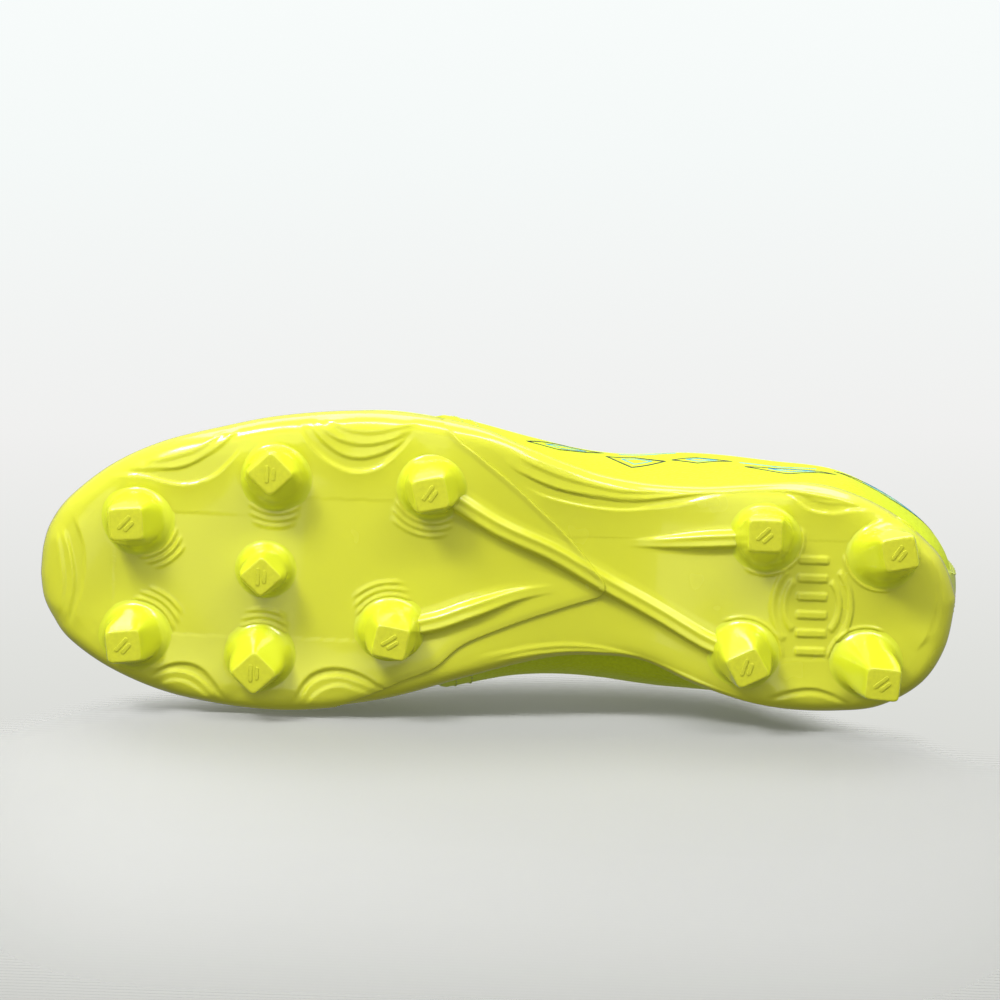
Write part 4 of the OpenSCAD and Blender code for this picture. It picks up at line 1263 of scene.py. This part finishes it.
# ------------------------------------------------------------------ sockliner
us2 = np.linspace(.6, NU - .5, 150)
la, lb = side(us2, 0) - 10.6*nrm(us2, 0), side(us2, 1) - 10.6*nrm(us2, 1)
w = np.concatenate([[0, .015, .04], np.linspace(.08, .92, 24), [.96, .985, 1]])
topz = lambda x: 8.3 - 1.2*np.exp(-x/.02) - 1.2*np.exp(-(1 - x)/.02) + 1.6*(np.exp(-x/.08) + np.exp(-(1 - x)/.08))
rows_t = np.stack([np.concatenate([(la + (lb - la)*x), (zb((la + (lb - la)*x)[:, 1]) + topz(x))[:, None]], 1) for x in w], 1)
rows_b = np.stack([np.concatenate([(la + (lb - la)*x), (zb((la + (lb - la)*x)[:, 1]) + 4.95)[:, None]], 1) for x in w[::-1]], 1)
R = np.concatenate([rows_t, rows_b], 1)
B = R.shape[1]
V = R.reshape(-1, 3)
F = grid_faces(len(us2), B, wrap_b=True)
cap = np.array([[i, i + 1, B - 2 - i, B - 1 - i] for i in range(len(w) - 1)])
nn = np.cross(V[F[B*70 + 14, 1]] - V[F[B*70 + 14, 0]], V[F[B*70 + 14, 2]] - V[F[B*70 + 14, 0]])
F, c1, c2 = (F, cap[:, ::-1], cap + (len(us2) - 1)*B) if nn[2] > 0 else (F[:, ::-1], cap, cap[:, ::-1] + (len(us2) - 1)*B)
o_sock = build("sockliner", V, [F, c1, c2], m_sock.m, sharp=60)
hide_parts("sockliner_toe", "sockliner_rear")
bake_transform(o_sock)

# ------------------------------------------------------------------ printed line work, generic angular strokes
def ribbon(tp, wmm, d=.12, closed=False):
    """A thin ribbon on the upper along (t, s) points, wmm wide."""
    tp = np.array(tp, float)
    if closed:
        tp = np.concatenate([tp, tp[:1]])
    q = np.concatenate([tp[i] + (tp[i + 1] - tp[i])*np.linspace(0, 1, 14, endpoint=False)[:, None] for i in range(len(tp) - 1)] + [tp[-1:]])
    dd = d + .95*(1 - step(.15, 1.9, np.where(q[:, 0] < 12, q[:, 0], NM - q[:, 0]) - lap(q[:, 1])))*(np.where(q[:, 0] < 12, q[:, 0], NM - q[:, 0]) > lap(q[:, 1]))
    fl = .35*np.sin(9*q[:, 1] + 1.3*np.where(q[:, 0] < 12, q[:, 0], NM - q[:, 0]))
    tq = np.where(q[:, 0] < 12, q[:, 0], NM - q[:, 0])
    dd = dd + fl*step(6, 7.2, tq)*(1 - step(9, 10.5, tq))*step(.25, .45, q[:, 1])*(1 - step(.75, .95, q[:, 1]))
    dd = dd + np.where(q[:, 0] > 12, arch(tq, q[:, 1]), 0)
    p = P(q[:, 0], q[:, 1], dd)
    n_ = N(q[:, 0], q[:, 1])
    t_ = unit(np.gradient(p, axis=0))
    w_ = unit(np.cross(t_, n_))
    W = np.atleast_1d(wmm)/2*np.ones(len(p))
    R = np.stack([p + w_*W[:, None] - n_*.12, p + w_*W[:, None]*.9, p - w_*W[:, None]*.9, p - w_*W[:, None] - n_*.12], 1)
    F = grid_faces(len(p), 4)
    V = R.reshape(-1, 3)
    k = len(F)//2
    if np.cross(V[F[k, 1]] - V[F[k, 0]], V[F[k, 2]] - V[F[k, 0]]) @ n_[len(n_)//2] < 0:
        F = F[:, ::-1]
    return V, [F]


def sym(L):
    return [(24 - a, b) for a, b in L]


# slim angular kites on both sides; the outer side's lower edges show beside the sole
KITES = [
    ([(5.95, .22), (6.3, .26), (6.8, .50), (6.3, .43)], .75), ([(6.85, .42), (7.15, .29), (7.62, .40), (7.2, .46)], .9),
    ([(7.72, .42), (8.05, .385), (8.5, .47), (8.05, .48)], .65), ([(8.65, .38), (9.2, .31), (9.85, .40), (9.2, .42)], .6),
    ([(9.85, .50), (10.5, .43), (11.3, .52), (10.5, .57)], .6), ([(4.95, .50), (5.55, .50), (6.15, .64), (5.55, .61)], .6)]
PRINTS_BLACK, PRINTS_BLUE = [], []
for f, rows in ((lambda L: L, KITES), (sym, KITES[2:5])):
    for L, w_ in rows:
        PRINTS_BLACK.append((f(L), w_, True))
        c_ = np.mean(L, axis=0)
        inner = [tuple(c_ + (np.array(q) - c_)*.52 + (.02, .006)) for q in L]
        PRINTS_BLUE.append((f(inner), .55, True))
for L, w_ in (([(7.0, .52), (7.35, .54), (7.8, .60)], .8), ([(8.6, .46), (9.1, .47), (9.6, .49)], .7)):
    PRINTS_BLUE.append((L, w_, False))
# short brush-like strokes low on the inner side
for a, b, c, d, w_ in ((18.05, .33, 18.75, .40, 1.3), (17.75, .36, 18.4, .43, 1.5), (17.2, .38, 17.65, .40, 1.0), (18.3, .45, 19.0, .53, 1.4), (17.4, .47, 18.0, .56, 1.2)):
    PRINTS_BLACK.append(([(a, b), ((a + c)/2, (b + d)/2 + .006), (c, d)], w_, False))


def prints():
    parts = [(ribbon(q, w_, closed=c), 0) for q, w_, c in PRINTS_BLACK] + [(ribbon(q, w_, closed=c), 1) for q, w_, c in PRINTS_BLUE]
    if not parts:
        return
    V, F, idx = join([p[0] for p in parts])
    kinds = np.array([p[1] for p in parts])
    o = build("printed_lines", V, F, [m_black.m, m_blue.m], midx=kinds[idx])
    soft(o, slot="upper")


prints()

# ------------------------------------------------------------------ carried-over CAD nodes
for nme, mt in (("toe_puff", m_stiff), ("heel_counter", m_stiff), ("strobel_board_toe", m_board), ("strobel_board_rear", m_board)):
    NODES[nme].data.materials.clear()
    NODES[nme].data.materials.append(mt.m)
for o in NODES.values():
    if not o.hide_render and not (o.data.materials and o.data.materials[0] in (m_stiff.m, m_board.m)):
        o.data.materials.clear()
        o.data.materials.append(m_stiff.m)

# ------------------------------------------------------------------ stage
def one_sided(name, col, rough, alpha=None, normal=None):
    m = bpy.data.materials.new(name)
    m.use_nodes = True
    t = m.node_tree
    for x in list(t.nodes):
        t.nodes.remove(x)
    out = t.nodes.new("ShaderNodeOutputMaterial")
    dif = t.nodes.new("ShaderNodeBsdfDiffuse")
    dif.inputs[0].default_value = col
    tr = t.nodes.new("ShaderNodeBsdfTransparent")
    mx = t.nodes.new("ShaderNodeMixShader")
    ge = t.nodes.new("ShaderNodeNewGeometry")
    fac = ge.outputs["Backfacing"]
    if alpha is not None:
        a = alpha(t, ge.outputs["Position"])
        mm = t.nodes.new("ShaderNodeMath")
        mm.operation = "MAXIMUM"
        t.links.new(fac, mm.inputs[0])
        inv = t.nodes.new("ShaderNodeMath")
        inv.operation = "SUBTRACT"
        inv.inputs[0].default_value = 1
        t.links.new(a, inv.inputs[1])
        t.links.new(inv.outputs[0], mm.inputs[1])
        fac = mm.outputs[0]
    lit = dif.outputs[0]
    if normal is not None:
        back = t.nodes.new("ShaderNodeBsdfTranslucent")
        back.inputs[0].default_value = col
        add = t.nodes.new("ShaderNodeAddShader")
        for sh, sg in ((dif, 1), (back, -1)):
            nv = t.nodes.new("ShaderNodeCombineXYZ")
            for k in range(3):
                nv.inputs[k].default_value = sg*normal[k]
            t.links.new(nv.outputs[0], sh.inputs["Normal"])
        t.links.new(dif.outputs[0], add.inputs[0])
        t.links.new(back.outputs[0], add.inputs[1])
        lit = add.outputs[0]
    t.links.new(fac, mx.inputs[0])
    t.links.new(lit, mx.inputs[1])
    t.links.new(tr.outputs[0], mx.inputs[2])
    t.links.new(mx.outputs[0], out.inputs[0])
    return m


def quad_obj(name, quads, mat):
    me = bpy.data.meshes.new(name)
    V = [tuple(p) for q in quads for p in q]
    me.from_pydata(V, [], [tuple(range(4*i, 4*i + 4)) for i in range(len(quads))])
    me.materials.append(mat)
    o = bpy.data.objects.new(name, me)
    bpy.context.scene.collection.objects.link(o)
    return o


# the floor that the boot stands on in the views from above
fl = quad_obj("floor", [[(-8, -8, 0), (8, -8, 0), (8, 8, 0), (-8, 8, 0)]], one_sided("floor_paint", (.78, .785, .775, 1), .9))
for a in ("visible_diffuse", "visible_glossy", "visible_transmission", "visible_volume_scatter", "visible_shadow"):
    setattr(fl, a, False)

# the pale sweep that the boot lies on in the main view, laid as narrow one-sided strips behind the medial side
TILT, ROLL = math.radians(12), math.radians(1.9)
VIEW = Vector((-math.sin(TILT), 0, math.cos(TILT)))
RIGHT = Vector((0, math.cos(ROLL), 0)) + Vector((math.cos(TILT), 0, math.sin(TILT)))*math.sin(ROLL)
UPV = Vector((0, -math.sin(ROLL), 0)) + Vector((math.cos(TILT), 0, math.sin(TILT)))*math.cos(ROLL)
XW = CAD_BOX[0][0] - .0015
pitch = .003
quads = []
dvx, dvz = math.cos(TILT), math.sin(TILT)
for k in range(-190, 30):
    zc = (k + .5)*pitch
    hw = .5*pitch*math.sin(TILT)*1.5
    a = (XW - hw*dvx, -1.2, zc - hw*dvz)
    b = (XW + hw*dvx, -1.2, zc + hw*dvz)
    c = (XW + hw*dvx, 1.2, zc + hw*dvz)
    d = (XW - hw*dvx, 1.2, zc - hw*dvz)
    quads.append([a, d, c, b])


def sweep_alpha(t, pos):
    """1 low down; above the ground only behind the boot, fading out softly."""
    sp = t.nodes.new("ShaderNodeSeparateXYZ")
    t.links.new(pos, sp.inputs[0])

    def mr(src, a, b, c, d):
        n_ = t.nodes.new("ShaderNodeMapRange")
        n_.interpolation_type = "SMOOTHSTEP"
        t.links.new(src, n_.inputs[0])
        for i, v in enumerate((a, b, c, d)):
            n_.inputs[i + 1].default_value = v
        return n_.outputs[0]
    # height limit, by place along the boot
    fc = t.nodes.new("ShaderNodeFloatCurve")
    m01 = mr(sp.outputs[1], -.15, .15, 0, 1)
    m01.node.interpolation_type = "LINEAR"
    t.links.new(m01, fc.inputs[1])
    cv = fc.mapping.curves[0]
    ptsl = [(0, 0), (.03, .12), (.12, .36), (.3, .6), (.5, .8), (.7, .80), (.8, .55), (.88, .30), (.94, .18), (.97, .06), (1, 0)]
    cv.points[0].location = ptsl[0]
    cv.points[1].location = ptsl[-1]
    for q in ptsl[1:-1]:
        cv.points.new(*q)
    fc.mapping.update()
    lim = t.nodes.new("ShaderNodeMath")
    lim.operation = "MULTIPLY"
    t.links.new(fc.outputs[0], lim.inputs[0])
    lim.inputs[1].default_value = .105
    df = t.nodes.new("ShaderNodeMath")
    df.operation = "SUBTRACT"
    t.links.new(lim.outputs[0], df.inputs[0])
    t.links.new(sp.outputs[2], df.inputs[1])
    ab = t.nodes.new("ShaderNodeMath")
    ab.operation = "ABSOLUTE"
    t.links.new(sp.outputs[1], ab.inputs[0])
    out = mr(df.outputs[0], -.006, .035, 0, 1)
    for f in (mr(sp.outputs[2], -.40, -.10, 0, 1), mr(ab.outputs[0], .09, .2, 1, 0)):
        mm = t.nodes.new("ShaderNodeMath")
        mm.operation = "MULTIPLY"
        t.links.new(out, mm.inputs[0])
        t.links.new(f, mm.inputs[1])
        out = mm.outputs[0]
    return out


swp = sweep = quad_obj("sweep", quads, one_sided("sweep_paint", (.5, .503, .495, 1), .9, alpha=sweep_alpha, normal=(1, 0, 0)))

for a in ("visible_shadow", "visible_diffuse", "visible_glossy", "visible_transmission"):
    setattr(swp, a, False)

# ------------------------------------------------------------------ world: a pale studio gradient by world direction, painted shade darker towards the bottom
w = bpy.data.worlds.new("studio")
bpy.context.scene.world = w
w.use_nodes = True
t = w.node_tree
bg = t.nodes["Background"]
tc_ = t.nodes.new("ShaderNodeTexCoord")
dt = t.nodes.new("ShaderNodeVectorMath")
dt.operation = "DOT_PRODUCT"
t.links.new(tc_.outputs["Generated"], dt.inputs[0])
dt.inputs[1].default_value = UPV
mr = t.nodes.new("ShaderNodeMapRange")
mr.inputs[1].default_value, mr.inputs[2].default_value = -.075, .075
t.links.new(dt.outputs["Value"], mr.inputs[0])
rp = t.nodes.new("ShaderNodeValToRGB")
t.links.new(mr.outputs[0], rp.inputs[0])
e = rp.color_ramp.elements
# painted shade: camera rays see the backdrop lighter at the top and darker towards the bottom; the lamps and the
# ambient below light the scene
stops = [(0, srgb(194, 195, 190)), (.2, srgb(213, 214, 209)), (.36, srgb(224, 225, 221)), (.56, srgb(240, 240, 239)), (.8, srgb(245, 249, 248)), (1, srgb(249, 253, 252))]
while len(e) < len(stops):
    e.new(.5)
for x, (p_, c_) in zip(e, stops):
    x.position, x.color = p_, c_
t.links.new(rp.outputs[0], bg.inputs[0])
bg.inputs[1].default_value = 1.0
amb = t.nodes.new("ShaderNodeBackground")
amb.inputs[0].default_value = (.97, .985, 1, 1)
amb.inputs[1].default_value = .4
sx_ = t.nodes.new("ShaderNodeSeparateXYZ")
t.links.new(tc_.outputs["Generated"], sx_.inputs[0])
mx_ = t.nodes.new("ShaderNodeMapRange")
mx_.inputs[1].default_value, mx_.inputs[2].default_value, mx_.inputs[3].default_value, mx_.inputs[4].default_value = -1, 1, .1, .58
t.links.new(sx_.outputs[0], mx_.inputs[0])
t.links.new(mx_.outputs[0], amb.inputs[1])
lp = t.nodes.new("ShaderNodeLightPath")
mxw = t.nodes.new("ShaderNodeMixShader")
t.links.new(lp.outputs["Is Camera Ray"], mxw.inputs[0])
t.links.new(amb.outputs[0], mxw.inputs[1])
t.links.new(bg.outputs[0], mxw.inputs[2])
t.links.new(mxw.outputs[0], t.nodes["World Output"].inputs[0])


def area(name, pos, target, sx, sy, watts, col=(1, 1, 1)):
    L = bpy.data.lights.new(name, "AREA")
    L.shape, L.size, L.size_y, L.energy, L.color = "RECTANGLE", sx, sy, watts, col
    o = bpy.data.objects.new(name, L)
    o.location = pos
    o.rotation_mode = "QUATERNION"
    o.rotation_quaternion = (Vector(target) - Vector(pos)).to_track_quat("-Z", "Y")
    o.visible_camera = False
    o.visible_glossy = not name.startswith("stand")
    bpy.context.scene.collection.objects.link(o)
    return o


area("key_left", (.8, -.5, -.5), (0, -.03, .01), .28, .28, 7.2)
area("spec_strip", (.85, -.05, -.5), (0, 0, .01), 1.0, .1, 5.0)
area("key_right", (.8, .5, -.4), (0, .04, .01), .28, .28, 1.9)
area("front_soft", (.1, -.35, -1.0), (0, 0, .0), .7, .7, 1.1)
area("top_strip", (1.0, 0, .5), (0, 0, .03), 1.1, .6, 7.5)
area("stand_soft", (.3, -.55, 1.1), (0, 0, .03), .9, .9, 4.0)
area("stand_fill", (-.9, .4, .8), (0, 0, .03), .8, .8, 2.1)

# ------------------------------------------------------------------ camera
cam = bpy.data.cameras.new("camera")
cam.sensor_width = 36
DIST = 2.4
cam.lens = 36*DIST/.3135
co = bpy.data.objects.new("camera", cam)
bpy.context.scene.collection.objects.link(co)
target = Vector((.0206, -.0009, .0222))
co.location = target - VIEW*DIST
co.rotation_mode = "QUATERNION"
co.rotation_quaternion = Matrix((RIGHT, UPV, -VIEW)).transposed().to_quaternion()
cam.clip_start, cam.clip_end = .05, 60
cam.dof.use_dof = False
bpy.context.scene.camera = co
bpy.context.scene.view_settings.view_transform = "Standard"
